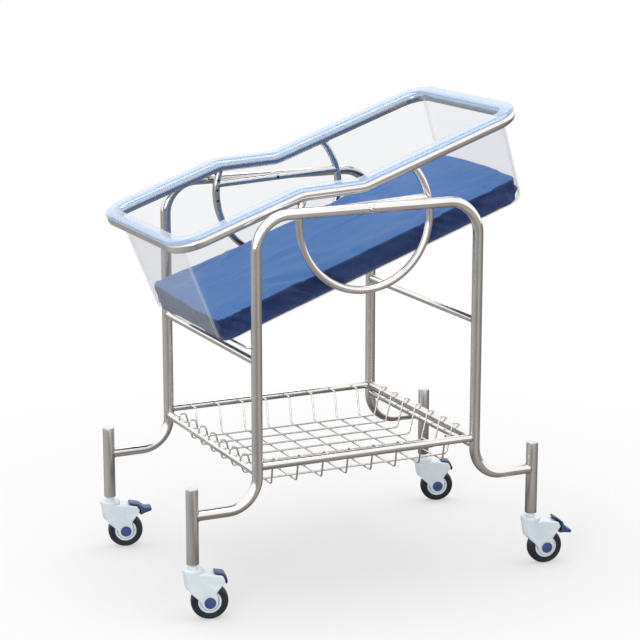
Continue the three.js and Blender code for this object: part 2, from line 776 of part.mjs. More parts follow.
// Caster fork: the moulded side outline, hollowed by the wheel arch
function forkOutline() {
  const shape = new THREE.Shape();
  const front = -FORK_CAP_RADIUS + FORK_EDGE;
  const bossAt = (angle) => [
    TRAIL + FORK_BOSS_RADIUS * Math.cos(angle),
    WHEEL_RADIUS + FORK_BOSS_RADIUS * Math.sin(angle),
  ];
  const bossStart = radians(BOSS_START_DEG);
  shape.moveTo(front, FORK_CHIN_Z + 2 * FORK_EDGE);
  shape.lineTo(front + FORK_EDGE, FORK_CHIN_Z + FORK_EDGE);
  shape.quadraticCurveTo(0, FORK_CHIN_Z - FORK_EDGE, ...bossAt(bossStart));
  shape.absarc(TRAIL, WHEEL_RADIUS, FORK_BOSS_RADIUS, bossStart, radians(BOSS_END_DEG), false);
  shape.lineTo(TRAIL + FORK_BOSS_RADIUS, FORK_NOTCH_Z);
  shape.absarc(NOSE_X, NOSE_Z, NOSE_RADIUS, radians(NOSE_START_DEG), Math.PI / 2, false);
  shape.lineTo(NOSE_X - NOSE_RADIUS, FORK_TOP_Z - FORK_EDGE);
  shape.lineTo(front, FORK_TOP_Z);
  shape.closePath();
  return shape;
}

function fork() {
  const body = plate(forkOutline(), FORK_WIDTH, FORK_EDGE, CORNER_STEPS);
  const crown = turned([
    [0, FORK_CHIN_Z + 2 * FORK_EDGE],
    [FORK_CAP_RADIUS - FORK_CAP_EDGE, FORK_CHIN_Z + 2 * FORK_EDGE],
    [FORK_CAP_RADIUS - FORK_EDGE, FORK_TOP_Z - FORK_CAP_EDGE],
    [FORK_CAP_RADIUS, FORK_TOP_Z],
    [FORK_CAP_RADIUS, FORK_TOP_Z + FORK_CAP_HEIGHT - FORK_CAP_EDGE],
    [FORK_CAP_RADIUS - FORK_CAP_EDGE, FORK_TOP_Z + FORK_CAP_HEIGHT],
    [0, FORK_TOP_Z + FORK_CAP_HEIGHT],
  ]);
  const arch = turnedAcross([
    [0, -FORK_SLOT / 2],
    [WHEEL_RADIUS + WHEEL_ARCH, -FORK_SLOT / 2],
    [WHEEL_RADIUS + WHEEL_ARCH, FORK_SLOT / 2],
    [0, FORK_SLOT / 2],
  ]).translate(TRAIL, 0, WHEEL_RADIUS);
  const socket = turned([
    [0, FORK_TOP_Z - STEM_SINK],
    [STEM_RADIUS + RUNNING_FIT, FORK_TOP_Z - STEM_SINK],
    [STEM_RADIUS + RUNNING_FIT, FORK_TOP_Z + FORK_CAP_HEIGHT + CUT_OVERRUN],
    [0, FORK_TOP_Z + FORK_CAP_HEIGHT + CUT_OVERRUN],
  ], PIN_SIDES);
  const axleHole = turnedAcross([
    [0, -FORK_WIDTH],
    [AXLE_RADIUS + FIT, -FORK_WIDTH],
    [AXLE_RADIUS + FIT, FORK_WIDTH],
    [0, FORK_WIDTH],
  ], PIN_SIDES).translate(TRAIL, 0, WHEEL_RADIUS);
  return cut(join([body, crown]), [arch, socket, axleHole]);
}

function axle() {
  const seat = FORK_WIDTH / 2 + FIT;
  const cap = seat + AXLE_CAP_HEIGHT;
  return turnedAcross([
    [0, -cap],
    [AXLE_CAP_RADIUS - AXLE_CAP_HEIGHT / 2, -cap],
    [AXLE_CAP_RADIUS, -cap + AXLE_CAP_HEIGHT / 2],
    [AXLE_CAP_RADIUS, -seat],
    [AXLE_RADIUS, -seat],
    [AXLE_RADIUS, seat],
    [AXLE_CAP_RADIUS, seat],
    [AXLE_CAP_RADIUS, cap - AXLE_CAP_HEIGHT / 2],
    [AXLE_CAP_RADIUS - AXLE_CAP_HEIGHT / 2, cap],
    [0, cap],
  ]);
}

function tire() {
  const half = WHEEL_WIDTH / 2;
  return turnedAcross([
    [HUB_RADIUS + FIT, -half],
    [WHEEL_RADIUS - WHEEL_EDGE, -half],
    [WHEEL_RADIUS, -half + WHEEL_EDGE],
    [WHEEL_RADIUS, half - WHEEL_EDGE],
    [WHEEL_RADIUS - WHEEL_EDGE, half],
    [HUB_RADIUS + FIT, half],
    [HUB_RADIUS + FIT, -half],
  ], ROUND_SIDES * 2);
}

function hub() {
  const half = WHEEL_WIDTH / 2;
  const bore = AXLE_RADIUS + RUNNING_FIT;
  const rim = HUB_RADIUS - HUB_DISH;
  return turnedAcross([
    [bore, -half],
    [HUB_BOSS_RADIUS, -half],
    [HUB_BOSS_RADIUS, -half + HUB_DISH],
    [rim, -half + HUB_DISH],
    [rim, -half],
    [HUB_RADIUS, -half],
    [HUB_RADIUS, half],
    [rim, half],
    [rim, half - HUB_DISH],
    [HUB_BOSS_RADIUS, half - HUB_DISH],
    [HUB_BOSS_RADIUS, half],
    [bore, half],
    [bore, -half],
  ]);
}

// Tail: a band round the fork's nose. The brake pedal has a tongue and a paddle besides.
const tailInner = NOSE_RADIUS + RUNNING_FIT;
const tailOuter = tailInner + TAIL_WALL;

function tailCover() {
  const shape = new THREE.Shape();
  const from = radians(COVER_START_DEG);
  shape.moveTo(-TONGUE_LENGTH, tailOuter);
  shape.absarc(0, 0, tailInner, Math.PI / 2, from, true);
  shape.absarc(0, 0, tailOuter, from, Math.PI / 2, false);
  shape.lineTo(-TONGUE_LENGTH, tailOuter + TAIL_WALL / 2);
  shape.closePath();
  return plate(shape, TAIL_WIDTH, 0, CORNER_STEPS);
}

function brakePedal() {
  const shape = new THREE.Shape();
  const paddleEnd = tailOuter + PADDLE_LENGTH;
  shape.moveTo(-TONGUE_LENGTH, tailOuter);
  shape.absarc(0, 0, tailInner, Math.PI / 2, radians(PADDLE_START_DEG), true);
  shape.lineTo(tailOuter, -PADDLE_THICK / 2);
  shape.lineTo(paddleEnd, 0);
  shape.lineTo(paddleEnd, PADDLE_THICK);
  shape.absarc(0, 0, tailOuter, radians(PADDLE_END_DEG), Math.PI / 2, false);
  shape.lineTo(-TONGUE_LENGTH, tailOuter + TAIL_WALL / 2);
  shape.closePath();
  return plate(shape, TAIL_WIDTH, 0, CORNER_STEPS);
}

function casterStem() {
  const collar = FORK_TOP_Z + FORK_CAP_HEIGHT + RUNNING_FIT;
  return turned([
    [0, FORK_TOP_Z - STEM_SINK + RUNNING_FIT],
    [STEM_RADIUS, FORK_TOP_Z - STEM_SINK + RUNNING_FIT],
    [STEM_RADIUS, collar],
    [STEM_COLLAR_RADIUS, collar],
    [STEM_COLLAR_RADIUS, POST_BOTTOM_Z - FIT],
    [STEM_RADIUS, POST_BOTTOM_Z - FIT],
    [STEM_RADIUS, POST_BOTTOM_Z + POST_SOCKET_DEPTH - FIT - STEM_CHAMFER],
    [STEM_RADIUS - STEM_CHAMFER, POST_BOTTOM_Z + POST_SOCKET_DEPTH - FIT],
    [0, POST_BOTTOM_Z + POST_SOCKET_DEPTH - FIT],
  ], PIN_SIDES);
}

function caster({ name, end, side, yawDeg, pedal, pressed }) {
  const group = new THREE.Group();
  group.position.set(end * postX, side * sideY, 0);
  group.rotation.z = radians(yawDeg);
  group.add(mesh(`caster_fork_${name}`, fork(), whitePlastic));
  const wheel = new THREE.Group();
  wheel.position.set(TRAIL, 0, WHEEL_RADIUS);
  wheel.add(
    mesh(`caster_axle_${name}`, axle(), slatePlastic),
    mesh(`caster_tire_${name}`, tire(), rubber),
    mesh(`caster_hub_${name}`, hub(), whitePlastic),
  );
  const tail = pedal
    ? mesh(`brake_pedal_${name}`, brakePedal(), darkSlate)
    : mesh(`caster_tail_${name}`, tailCover(), darkSlate);
  tail.position.set(NOSE_X, 0, NOSE_Z);
  if (pressed) tail.rotation.y = radians(PEDAL_PRESSED_DEG);
  group.add(wheel, tail);
  return group;
}

// Assembly
const crib = new THREE.Group();

for (const [side, name] of [[-1, "near"], [1, "far"]]) {
  const drills = [boltDrill(0, side, BOLT_RADIUS + FIT)];
  if (side > 0) drills.push(boltDrill(lockX, side, LOCK_PIN_RADIUS + RUNNING_FIT));
  crib.add(mesh(`side_frame_${name}`, sideFrame(side, drills), steel));
  crib.add(mesh(`basket_rail_${name}`, sideRail(side), steel));
  const hardware = new THREE.Group();
  hardware.position.z = TOP_RAIL_Z;
  if (side < 0) hardware.rotation.z = Math.PI;
  hardware.add(
    mesh(`pivot_bolt_${name}`, pivotBolt(), steel),
    mesh(`pivot_nut_${name}`, pivotNut(), steel),
    mesh(`pivot_spacer_${name}`, pivotSpacer(), steel),
  );
  crib.add(hardware);
}
crib.add(
  mesh("crossbar_foot", crossbar(-legX, FOOT_CROSSBAR_Z), steel),
  mesh("crossbar_head", crossbar(legX, HEAD_CROSSBAR_Z), steel),
  mesh("basin_rest_bar", restBar(), steel),
  mesh("basket_rail_foot", endRail(-1, FOOT_RAIL_Z, FOOT_HOOK_RISE), steel),
  mesh("basket_rail_head", endRail(1, SIDE_RAIL_Z, HEAD_HOOK_RISE), steel),
  mesh("basket_rail_head_lower", crossbar(legX, SIDE_RAIL_Z - 2 * BAR_RADIUS - HEAD_RAIL_GAP), steel),
  mesh("basket_floor", basketFloor(), steel),
);

for (const spec of CASTERS) {
  const standing = new THREE.Group();
  standing.position.set(spec.end * postX, spec.side * sideY, 0);
  standing.add(
    mesh(`post_${spec.name}`, post(), steel),
    mesh(`post_plug_${spec.name}`, postPlug(), whitePlastic),
    mesh(`caster_stem_${spec.name}`, casterStem(), steel),
  );
  crib.add(standing, caster(spec));
}

const lock = new THREE.Group();
lock.position.set(lockX, 0, TOP_RAIL_Z);
lock.add(mesh("lock_barrel", lockBarrel(), steel), mesh("lock_plunger", lockPin(), darkSlate));
crib.add(lock);

const cradle = new THREE.Group();
cradle.position.z = TOP_RAIL_Z;
cradle.rotation.y = -tilt;
cradle.add(
  mesh("rim_tube", rimTube(), steel),
  mesh("hoop_near", hoop(-1, []), steel),
  mesh("hoop_far", hoop(1, lockDrills()), steel),
  mesh("chord_near", chord(-1), steel),
  mesh("chord_far", chord(1), steel),
  mesh("basin", basinShell(), clearPlastic),
  mesh("mattress", mattress(), mattressCover),
);
crib.add(cradle);

// The part's origin is under the middle of its bounding box, on the floor
crib.updateMatrixWorld(true);
const box = new THREE.Box3().setFromObject(crib, true);
const middle = box.getCenter(new THREE.Vector3());
crib.position.set(-middle.x, -middle.y, -box.min.z);

export default crib;
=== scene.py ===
# Pediatric hospital crib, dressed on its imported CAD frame.
import json
import math

import bmesh
import bpy
import numpy as np
from mathutils import Matrix, Quaternion, Vector, noise
from mathutils.kdtree import KDTree

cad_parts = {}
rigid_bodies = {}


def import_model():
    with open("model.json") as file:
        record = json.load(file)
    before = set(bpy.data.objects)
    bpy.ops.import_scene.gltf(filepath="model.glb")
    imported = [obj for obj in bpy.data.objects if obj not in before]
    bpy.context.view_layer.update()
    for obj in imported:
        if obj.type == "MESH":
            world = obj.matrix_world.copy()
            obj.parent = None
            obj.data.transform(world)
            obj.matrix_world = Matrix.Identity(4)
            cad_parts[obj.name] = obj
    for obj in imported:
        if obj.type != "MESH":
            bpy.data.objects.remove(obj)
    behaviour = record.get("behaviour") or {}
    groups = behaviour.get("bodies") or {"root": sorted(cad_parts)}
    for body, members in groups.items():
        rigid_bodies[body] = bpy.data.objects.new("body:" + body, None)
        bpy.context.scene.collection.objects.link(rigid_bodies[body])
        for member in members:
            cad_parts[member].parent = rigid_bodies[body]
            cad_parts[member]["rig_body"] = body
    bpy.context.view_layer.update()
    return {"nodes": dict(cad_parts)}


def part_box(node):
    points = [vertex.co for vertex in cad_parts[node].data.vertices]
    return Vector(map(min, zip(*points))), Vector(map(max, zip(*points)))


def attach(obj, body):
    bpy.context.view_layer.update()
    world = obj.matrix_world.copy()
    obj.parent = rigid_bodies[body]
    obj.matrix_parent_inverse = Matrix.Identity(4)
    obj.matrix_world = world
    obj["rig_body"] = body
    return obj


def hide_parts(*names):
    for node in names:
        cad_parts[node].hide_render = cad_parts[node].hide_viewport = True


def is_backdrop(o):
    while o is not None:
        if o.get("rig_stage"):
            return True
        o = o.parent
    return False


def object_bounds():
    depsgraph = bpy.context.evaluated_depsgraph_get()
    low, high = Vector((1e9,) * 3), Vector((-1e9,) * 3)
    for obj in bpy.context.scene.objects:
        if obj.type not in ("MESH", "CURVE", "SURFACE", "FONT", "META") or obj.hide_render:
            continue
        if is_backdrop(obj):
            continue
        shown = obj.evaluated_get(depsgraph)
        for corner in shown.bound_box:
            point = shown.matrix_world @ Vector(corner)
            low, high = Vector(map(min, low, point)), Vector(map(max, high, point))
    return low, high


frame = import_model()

# Millimetres, in the trolley's own frame: X along the crib, Y across it, the pivots over X = 0
LEG_X = 246
SIDE_Y = 242.5
POST_X = 386
RAIL_Z = 796
STUB_Z = 212
POST_R = 12.5
LEG_R = 11
BAR_R = 8
WIRE_R = 1.9
REST_BAR_R = 2.5
LOW_BEND = 64
TOP_BEND = 70
BASKET_Z = 296
BASKET_FOOT_Z = 282
BASKET_FLOOR_Z = 241.5
LONG_WIRE_Z = 244.9
SIDE_HOOK_Z = 299
END_HOOK_X = 250
REST_BAR_Z = 539.1
# the X and Z of the tubes that run across from leg to leg
CROSSBARS = {
    "crossbar_foot": (-LEG_X, 508),
    "crossbar_head": (LEG_X, 545),
    "basket_rail_foot": (-LEG_X, BASKET_FOOT_Z),
    "basket_rail_head": (LEG_X, BASKET_Z),
    "basket_rail_head_lower": (LEG_X, BASKET_Z - 16.5),
}
CROSS_WIRES = np.linspace(-196, 196, 8)
LONG_WIRES = np.linspace(-168, 168, 7)
SIDES = ((-1, "near"), (1, "far"))

# The cradle's frame has its origin at the pivot
TILT = math.radians(19.6)
RIM_R = 12.5
RIM_X = 385.5
RIM_Y = 213
RIM_CORNER = 50
RIM_FOOT = 74.4
RIM_HEAD = 36.3
STEP_START = -116
STEP_END = 13
RIM_BEND = 70
HOOP_R = 145
HOOP_X = -4.5
HOOP_Z = -25.7
HOOP_TUBE_R = 8
LOCK_R = 142.7
SHELL_BOTTOM = -150

# The caster's frame has its origin on the floor under the swivel, and the wheel trails along X
AXLE_X = 32
AXLE_Z = 37.5
WHEEL = (AXLE_X, 0, AXLE_Z)
PEDAL_HINGE = Vector((52, 0, 77))
PRESSED = math.radians(25)
# each caster's end and side of the crib, and its yaw in degrees
CASTERS = {
    "near_foot": (-1, -1, -17),
    "far_foot": (-1, 1, -15),
    "near_head": (1, -1, -10),
    "far_head": (1, 1, -18),
}

MM = 0.001
low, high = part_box("post_near_foot")
ORIGIN = Vector(((low.x + high.x) / 2 + POST_X * MM, (low.y + high.y) / 2 + SIDE_Y * MM, 0))
TROLLEY = Matrix.Translation(ORIGIN) @ Matrix.Scale(MM, 4)
CRADLE = (
    Matrix.Translation(ORIGIN + Vector((0, 0, RAIL_Z * MM)))
    @ Matrix.Rotation(-TILT, 4, "Y")
    @ Matrix.Scale(MM, 4)
)


def caster_place(name):
    """The caster's own frame, in the world."""
    end, side, yaw = CASTERS[name]
    return (
        TROLLEY
        @ Matrix.Translation((end * POST_X, side * SIDE_Y, 0))
        @ Matrix.Rotation(math.radians(yaw), 4, "Z")
    )


# Outlines and paths


def quarter(count):
    """The cosine and sine at even steps from 0 to 90 degrees."""
    return [(math.cos(a), math.sin(a)) for a in np.linspace(0, math.pi / 2, count)]


def fillet(corners, closed=False, step=12.0):
    """The points of a flat outline whose corners (x, z, radius) are rounded."""
    points = []
    for i, (x, z, radius) in enumerate(corners):
        here = Vector((x, z))
        if radius <= 0 or (not closed and i in (0, len(corners) - 1)):
            points.append(here)
            continue
        into = here - Vector(corners[i - 1][:2])
        out = Vector(corners[(i + 1) % len(corners)][:2]) - here
        room = 0.48 * min(into.length, out.length)
        into.normalize()
        out.normalize()
        turn = math.atan2(into.x * out.y - into.y * out.x, into.dot(out))
        slope = math.tan(abs(turn) / 2)
        reach = min(radius * slope, room)
        if reach < 1e-6:
            points.append(here)
            continue
        radius = reach / slope
        side = Vector((-into.y, into.x)) * math.copysign(1, turn)
        start = here - into * reach
        steps = max(1, math.ceil(math.degrees(abs(turn)) / step))
        for k in range(steps + 1):
            angle = abs(turn) * k / steps
            along = into * radius * math.sin(angle)
            points.append(start + along + side * radius * (1 - math.cos(angle)))
    return [(p.x, p.y) for p in points]


def bent(corners, radius, step=5.0):
    """Stations (point, tangent) of a tube bent round its corner points."""
    corners = [Vector(c) for c in corners]
    stations = [(corners[0], (corners[1] - corners[0]).normalized())]
    for before, here, after in zip(corners, corners[1:], corners[2:]):
        into = (here - before).normalized()
        out = (after - here).normalized()
        turn = into.angle(out)
        inward = (out - into * into.dot(out)).normalized()
        start = here - into * radius * math.tan(turn / 2)
        steps = max(2, math.ceil(math.degrees(turn) / step))
        for k in range(steps + 1):
            angle = turn * k / steps
            along = into * radius * math.sin(angle)
            point = start + along + inward * radius * (1 - math.cos(angle))
            stations.append((point, into * math.cos(angle) + inward * math.sin(angle)))
    stations.append((corners[-1], (corners[-1] - corners[-2]).normalized()))
    return stations


def polar(centre, radius, degrees):
    """The point of an upright circle at an angle from X towards Z."""
    angle = math.radians(degrees)
    return (centre[0] + radius * math.cos(angle), centre[1], centre[2] + radius * math.sin(angle))


def arc(centre, radius, start, end, step):
    """Stations of a round bend in the plane of X and Z."""
    steps = math.ceil(abs(math.degrees(end - start)) / step)
    stations = []
    for k in range(steps + 1):
        angle = start + (end - start) * k / steps
        out = Vector((math.cos(angle), 0, math.sin(angle)))
        stations.append((Vector(centre) + out * radius, Vector((-out.z, 0, out.x))))
    return stations


# Shapes


def at(values, index):
    """The value at an index of a list, or the one value that stands for a whole list."""
    return values[index] if isinstance(values, list) else values


class Shape:
    """Points in millimetres, with faces, a material number for each, and a UV map in metres."""

    def __init__(self):
        self.points = []
        self.faces = []
        self.maps = []
        self.paints = []

    def grid(self, rings, closed=False, paint=0):
        """A skin over rings of points that all have the same count."""
        rings = np.asarray([[tuple(p) for p in ring] for ring in rings], float)
        count, columns = rings.shape[:2]
        base = len(self.points)
        self.points.extend(map(tuple, rings.reshape(-1, 3)))

        def travel(line):
            steps = np.linalg.norm(np.diff(np.vstack([line, line[:1]]), axis=0), axis=1)
            return np.concatenate([[0], np.cumsum(steps)]) * MM

        across = travel(rings[int(np.argmax(np.ptp(rings, axis=1).sum(axis=1)))])
        along = travel(rings[:, 0])
        for i in range(count if closed else count - 1):
            here = base + i * columns
            there = base + (i + 1) % count * columns
            low, high = along[i : i + 2]
            for j in range(columns):
                beside = (j + 1) % columns
                left, right = across[j : j + 2]
                self.faces.append((here + j, here + beside, there + beside, there + j))
                self.maps.append(((left, low), (right, low), (right, high), (left, high)))
                self.paints.append(at(paint, i))
        return base, count, columns

    def cap(self, ring, paint=0):
        """A flat face over a ring of point numbers."""
        self.faces.append(tuple(ring))
        self.maps.append([(self.points[i][0] * MM, self.points[i][1] * MM) for i in ring])
        self.paints.append(paint)

    def closed_grid(self, rings, paint=0):
        """A skin whose first and last rings are capped."""
        base, count, columns = self.grid(rings, paint=paint)
        self.cap([base + columns - 1 - j for j in range(columns)], at(paint, 0))
        self.cap([base + (count - 1) * columns + j for j in range(columns)], at(paint, -1))
        return self

    def tube(self, stations, radius, sides=28, closed=False):
        """A round tube along stations. The radius may differ from station to station."""
        tangent = stations[0][1]
        normal = tangent.orthogonal().normalized()
        if abs(tangent.z) < 0.9:
            normal = (Vector((0, 0, 1)) - tangent * tangent.z).normalized()
        angles = [2 * math.pi * j / sides for j in range(sides)]
        rings = []
        for k, (point, heading) in enumerate(stations):
            turn = tangent.cross(heading)
            if turn.length > 1e-9:
                normal = Quaternion(turn.normalized(), tangent.angle(heading)) @ normal
            tangent = heading
            side = tangent.cross(normal)
            size = at(radius, k)
            ring = [point + normal * size * math.cos(a) + side * size * math.sin(a) for a in angles]
            rings.append(ring)
        if closed:
            self.grid(rings, closed=True)
        else:
            self.closed_grid(rings)
        return self

    def turned(self, outline, sides, axis="Z", centre=(0, 0, 0), paint=0):
        """An outline of (radius, height) turned about an axis. It may start and end on the axis."""

        def spot(radius, height, j=0):
            angle = 2 * math.pi * j / sides
            x, y, z = radius * math.cos(angle), radius * math.sin(angle), height
            if axis == "Y":
                x, y, z = y, z, x
            return (x + centre[0], y + centre[1], z + centre[2])

        rings = [[spot(r, height, j) for j in range(sides)] for r, height in outline if r > 1e-6]
        base, count, columns = self.grid(rings, paint=paint)
        for last, (radius, height) in enumerate((outline[0], outline[-1])):
            if radius > 1e-6:
                continue
            tip = len(self.points)
            self.points.append(spot(0, height))
            row = base + last * (count - 1) * columns
            for j in range(columns):
                pair = (row + j, row + (j + 1) % columns)
                self.cap((tip, *(pair if last else reversed(pair))), paint)
        return self

    def prism(self, outline, from_y, to_y, edge=0.0, steps=3):
        """A flat outline of (x, z) points, given thickness across Y and rounded edges."""
        outline = np.asarray(outline, float)
        previous = np.roll(outline, 1, axis=0)
        following = np.roll(outline, -1, axis=0)
        before = outline - previous
        after = following - outline
        before /= np.linalg.norm(before, axis=1, keepdims=True)
        after /= np.linalg.norm(after, axis=1, keepdims=True)
        area = np.sum(outline[:, 0] * following[:, 1]) - np.sum(outline[:, 1] * following[:, 0])
        turn = 1 if area > 0 else -1
        inward = np.stack([-(before + after)[:, 1], (before + after)[:, 0]], axis=1) * turn
        inward /= np.maximum(np.sum(inward**2, axis=1, keepdims=True) / 2, 0.5)
        turns = quarter(steps + 1) if edge else [(1, 0)]
        levels = [(edge * (1 - sin), edge * (1 - cos)) for cos, sin in turns]
        rings = [[(x, from_y + depth, z) for x, z in outline + inward * inset] for inset, depth in levels]
        levels.reverse()
        rings += [[(x, to_y - depth, z) for x, z in outline + inward * inset] for inset, depth in levels]
        return self.closed_grid(rings)


def add_object(name, data):
    """A new object of the scene that holds this data."""
    made = bpy.data.objects.new(name, data)
    bpy.context.scene.collection.objects.link(made)
    return made


def scene_object(name, shape, materials, place, smooth=35):
    """A Blender object in metres from a shape and its place."""
    data = bpy.data.meshes.new(name)
    data.from_pydata([tuple(place @ Vector(p)) for p in shape.points], [], shape.faces)
    layer = data.uv_layers.new(name="UVMap")
    flat = [uv for face in shape.maps for uv in face]
    layer.data.foreach_set("uv", np.asarray(flat, np.float32).ravel())
    data.polygons.foreach_set("material_index", shape.paints)
    for material in materials:
        data.materials.append(material)
    made = add_object(name, data)
    tidy(made, smooth)
    return made


def tidy(made, smooth):
    """Outward normals and smooth shading, with an edge where faces meet more sharply than that."""
    mesh = bmesh.new()
    mesh.from_mesh(made.data)
    bmesh.ops.recalc_face_normals(mesh, faces=mesh.faces)
    mesh.to_mesh(made.data)
    mesh.free()
    made.data.shade_smooth()
    made.data.set_sharp_from_angle(angle=math.radians(smooth))


def apply_modifiers(made):
    """Replaces the mesh by what its modifiers make of it."""
    depsgraph = bpy.context.evaluated_depsgraph_get()
    result = bpy.data.meshes.new_from_object(made.evaluated_get(depsgraph), depsgraph=depsgraph)
    made.modifiers.clear()
    old = made.data
    made.data = result
    bpy.data.meshes.remove(old)


def carve(made, tool, operation="DIFFERENCE"):
    """Cuts the tool out of a piece, or joins it on, and removes the tool."""
    change = made.modifiers.new("carve", "BOOLEAN")
    change.operation = operation
    change.solver = "EXACT"
    change.object = tool
    apply_modifiers(made)
    bpy.data.objects.remove(tool)


def dress(made, slot, *nodes, body=None):
    """Puts a piece on its body in the place of the CAD nodes that it stands for."""
    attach(made, body or frame["nodes"][nodes[0]]["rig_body"])
    if nodes:
        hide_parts(*nodes)


def piece(node, shape, materials, place, slot, smooth):
    """A piece that stands for one CAD node."""
    dress(scene_object(f"{node}_look", shape, materials, place, smooth), slot, node)


# Materials


class Nodes:
    """Makes and links the nodes of a material or of the world."""

    def __init__(self, owner):
        owner.use_nodes = True
        self.tree = owner.node_tree
        self.tree.nodes.clear()

    def node(self, kind, inputs=None, **settings):
        made = self.tree.nodes.new("ShaderNode" + kind)
        for key, value in settings.items():
            setattr(made, key, value)
        for key, value in (inputs or {}).items():
            self.plug(made.inputs[key], value)
        return made

    def plug(self, socket, value):
        if isinstance(value, bpy.types.NodeSocket):
            self.tree.links.new(value, socket)
        else:
            socket.default_value = value

    def span(self, value, low, high, start=0.3, end=0.7):
        """Takes start to end of a value to low to high."""
        ends = {"From Min": start, "From Max": end, "To Min": low, "To Max": high}
        return self.node("MapRange", {"Value": value, **ends}).outputs["Result"]

    def maths(self, operation, *values):
        return self.node("Math", dict(enumerate(values)), operation=operation).outputs[0]

    def ramp(self, value, *stops):
        made = self.node("ValToRGB", {"Fac": value})
        elements = made.color_ramp.elements
        while len(elements) < len(stops):
            elements.new(0.5)
        for element, (place, colour) in zip(elements, stops):
            element.position = place
            element.color = (*colour, 1)
        return made.outputs["Color"]

    def mix(self, share, first, second):
        """A shader that goes from the first to the second as the share goes from 0 to 1."""
        return self.node("MixShader", {"Fac": share, 1: first.outputs[0], 2: second.outputs[0]})

    def finish(self, shader):
        self.tree.links.new(shader.outputs[0], self.output.inputs["Surface"])


class Paint(Nodes):
    """A material made of nodes round one Principled shader."""

    def __init__(self, name):
        self.material = bpy.data.materials.new(name)
        super().__init__(self.material)
        self.output = self.node("OutputMaterial")
        self.shader = self.node("BsdfPrincipled")
        self.finish(self.shader)

    def set(self, **values):
        for key, value in values.items():
            self.plug(self.shader.inputs[key.replace("_", " ")], value)

    def place(self, kind="Object", scale=(1, 1, 1)):
        """Texture coordinates in metres, stretched by a scale for each axis."""
        source = self.node("TexCoord").outputs[kind]
        return self.node("Mapping", {"Vector": source, "Scale": scale}).outputs[0]

    def grain(self, scale, detail, rough=0.5, kind="Object", stretch=(1, 1, 1)):
        """Even noise from 0 to 1, this many cells to the metre."""
        look = {"Scale": scale, "Detail": detail, "Roughness": rough}
        return self.node("TexNoise", {"Vector": self.place(kind, stretch), **look}).outputs["Fac"]

    def facing(self):
        """0 where a surface is seen from the front, 1 where it is seen from its side."""
        return self.node("LayerWeight", {"Blend": 0.5}).outputs["Facing"]

    def bump(self, height, distance, strength, normal=None):
        inputs = {"Height": height, "Distance": distance, "Strength": strength}
        if normal is not None:
            inputs["Normal"] = normal
        return self.node("Bump", inputs).outputs[0]


def steel(name, tone, roughness, lines=900.0):
    """Polished stainless tube: fine lines round it, smudges, and a slow change of gloss."""
    paint = Paint(name)
    polish = paint.grain(1.0, 2.0, 0.6, "UV", (25, lines, 1))
    smudge = paint.grain(14.0, 4.0, 0.6)
    lines_gloss = paint.span(polish, roughness - 0.02, roughness + 0.03)
    gloss = paint.maths("ADD", lines_gloss, paint.span(smudge, -0.02, 0.03))
    dark = tuple(c * 0.93 for c in tone)
    paint.set(
        Base_Color=paint.ramp(smudge, (0.35, dark), (0.65, tone)),
        Metallic=1.0,
        Roughness=gloss,
        Normal=paint.bump(polish, 0.00001, 0.15),
    )
    return paint.material


def bead_steel():
    """Weld bead: duller and darker, with ripples."""
    paint = Paint("weld_bead")
    ripple = paint.grain(900.0, 2.0)
    paint.set(
        Base_Color=paint.ramp(ripple, (0.3, (0.20, 0.17, 0.14)), (0.7, (0.36, 0.33, 0.30))),
        Metallic=1.0,
        Roughness=paint.span(ripple, 0.32, 0.5),
        Normal=paint.bump(ripple, 0.0003, 0.6),
    )
    return paint.material


def plastic(name, tone, roughness, deep=None, pebble=0.35, coat=0.0):
    """Moulded plastic: a faint pebbled skin, and slight flow marks in a deeper tone."""
    paint = Paint(name)
    skin = paint.grain(1400.0, 2.0)
    flow = paint.grain(26.0, 3.0)
    deep = deep or tuple(c * 0.86 for c in tone)
    skin_gloss = paint.span(skin, roughness - 0.05, roughness + 0.05)
    paint.set(
        Base_Color=paint.ramp(flow, (0.32, deep), (0.62, tone)),
        Roughness=paint.maths("ADD", skin_gloss, paint.span(flow, -0.03, 0.04)),
        Normal=paint.bump(skin, 0.00006, pebble),
        Coat_Weight=coat,
        Coat_Roughness=0.12,
    )
    return paint.material


def see_through(paint, tint, share):
    """Shows the shader by a share, and lets the rest of the light and all shadow rays through."""
    clear = paint.node("BsdfTransparent", {"Color": (*tint, 1)})
    shadow = paint.node("LightPath").outputs["Is Shadow Ray"]
    free = paint.node("BsdfTransparent", {"Color": (*tint, 1)})
    paint.finish(paint.mix(shadow, paint.mix(share, clear, paint.shader), free))
    return paint.material


def clear_wall(name, least):
    """The basin's clear wall: nearly nothing from the front, hazier where seen on the slant."""
    paint = Paint(name)
    haze = paint.grain(9.0, 3.0)
    paint.set(
        Base_Color=(0.95, 0.97, 1.0, 1),
        Roughness=paint.span(haze, 0.06, 0.14),
        IOR=1.5,
        Normal=paint.bump(paint.grain(6.0, 1.0), 0.0012, 0.12),
    )
    share = paint.maths("MULTIPLY_ADD", paint.maths("POWER", paint.facing(), 2.5), 0.33, least)
    share = paint.maths("ADD", share, paint.span(haze, -0.003, 0.004))
    return see_through(paint, (0.950, 0.953, 0.962), share)


def clear_flange():
    """The thicker flange over the rim, where the plastic gathers a lavender tone."""
    paint = Paint("basin_flange")
    haze = paint.grain(11.0, 3.0)
    paint.set(
        Base_Color=paint.ramp(haze, (0.3, (0.54, 0.65, 0.84)), (0.7, (0.61, 0.71, 0.88))),
        Roughness=paint.span(haze, 0.08, 0.14),
        IOR=1.5,
        Coat_Weight=0.4,
        Coat_Roughness=0.05,
        Normal=paint.bump(paint.grain(7.0, 1.0), 0.0004, 0.10),
    )
    slant = paint.span(paint.facing(), 0.0, 0.35, 0.3, 1.0)
    share = paint.maths("ADD", paint.span(haze, 0.28, 0.34), slant)
    return see_through(paint, (0.87, 0.925, 0.985), share)


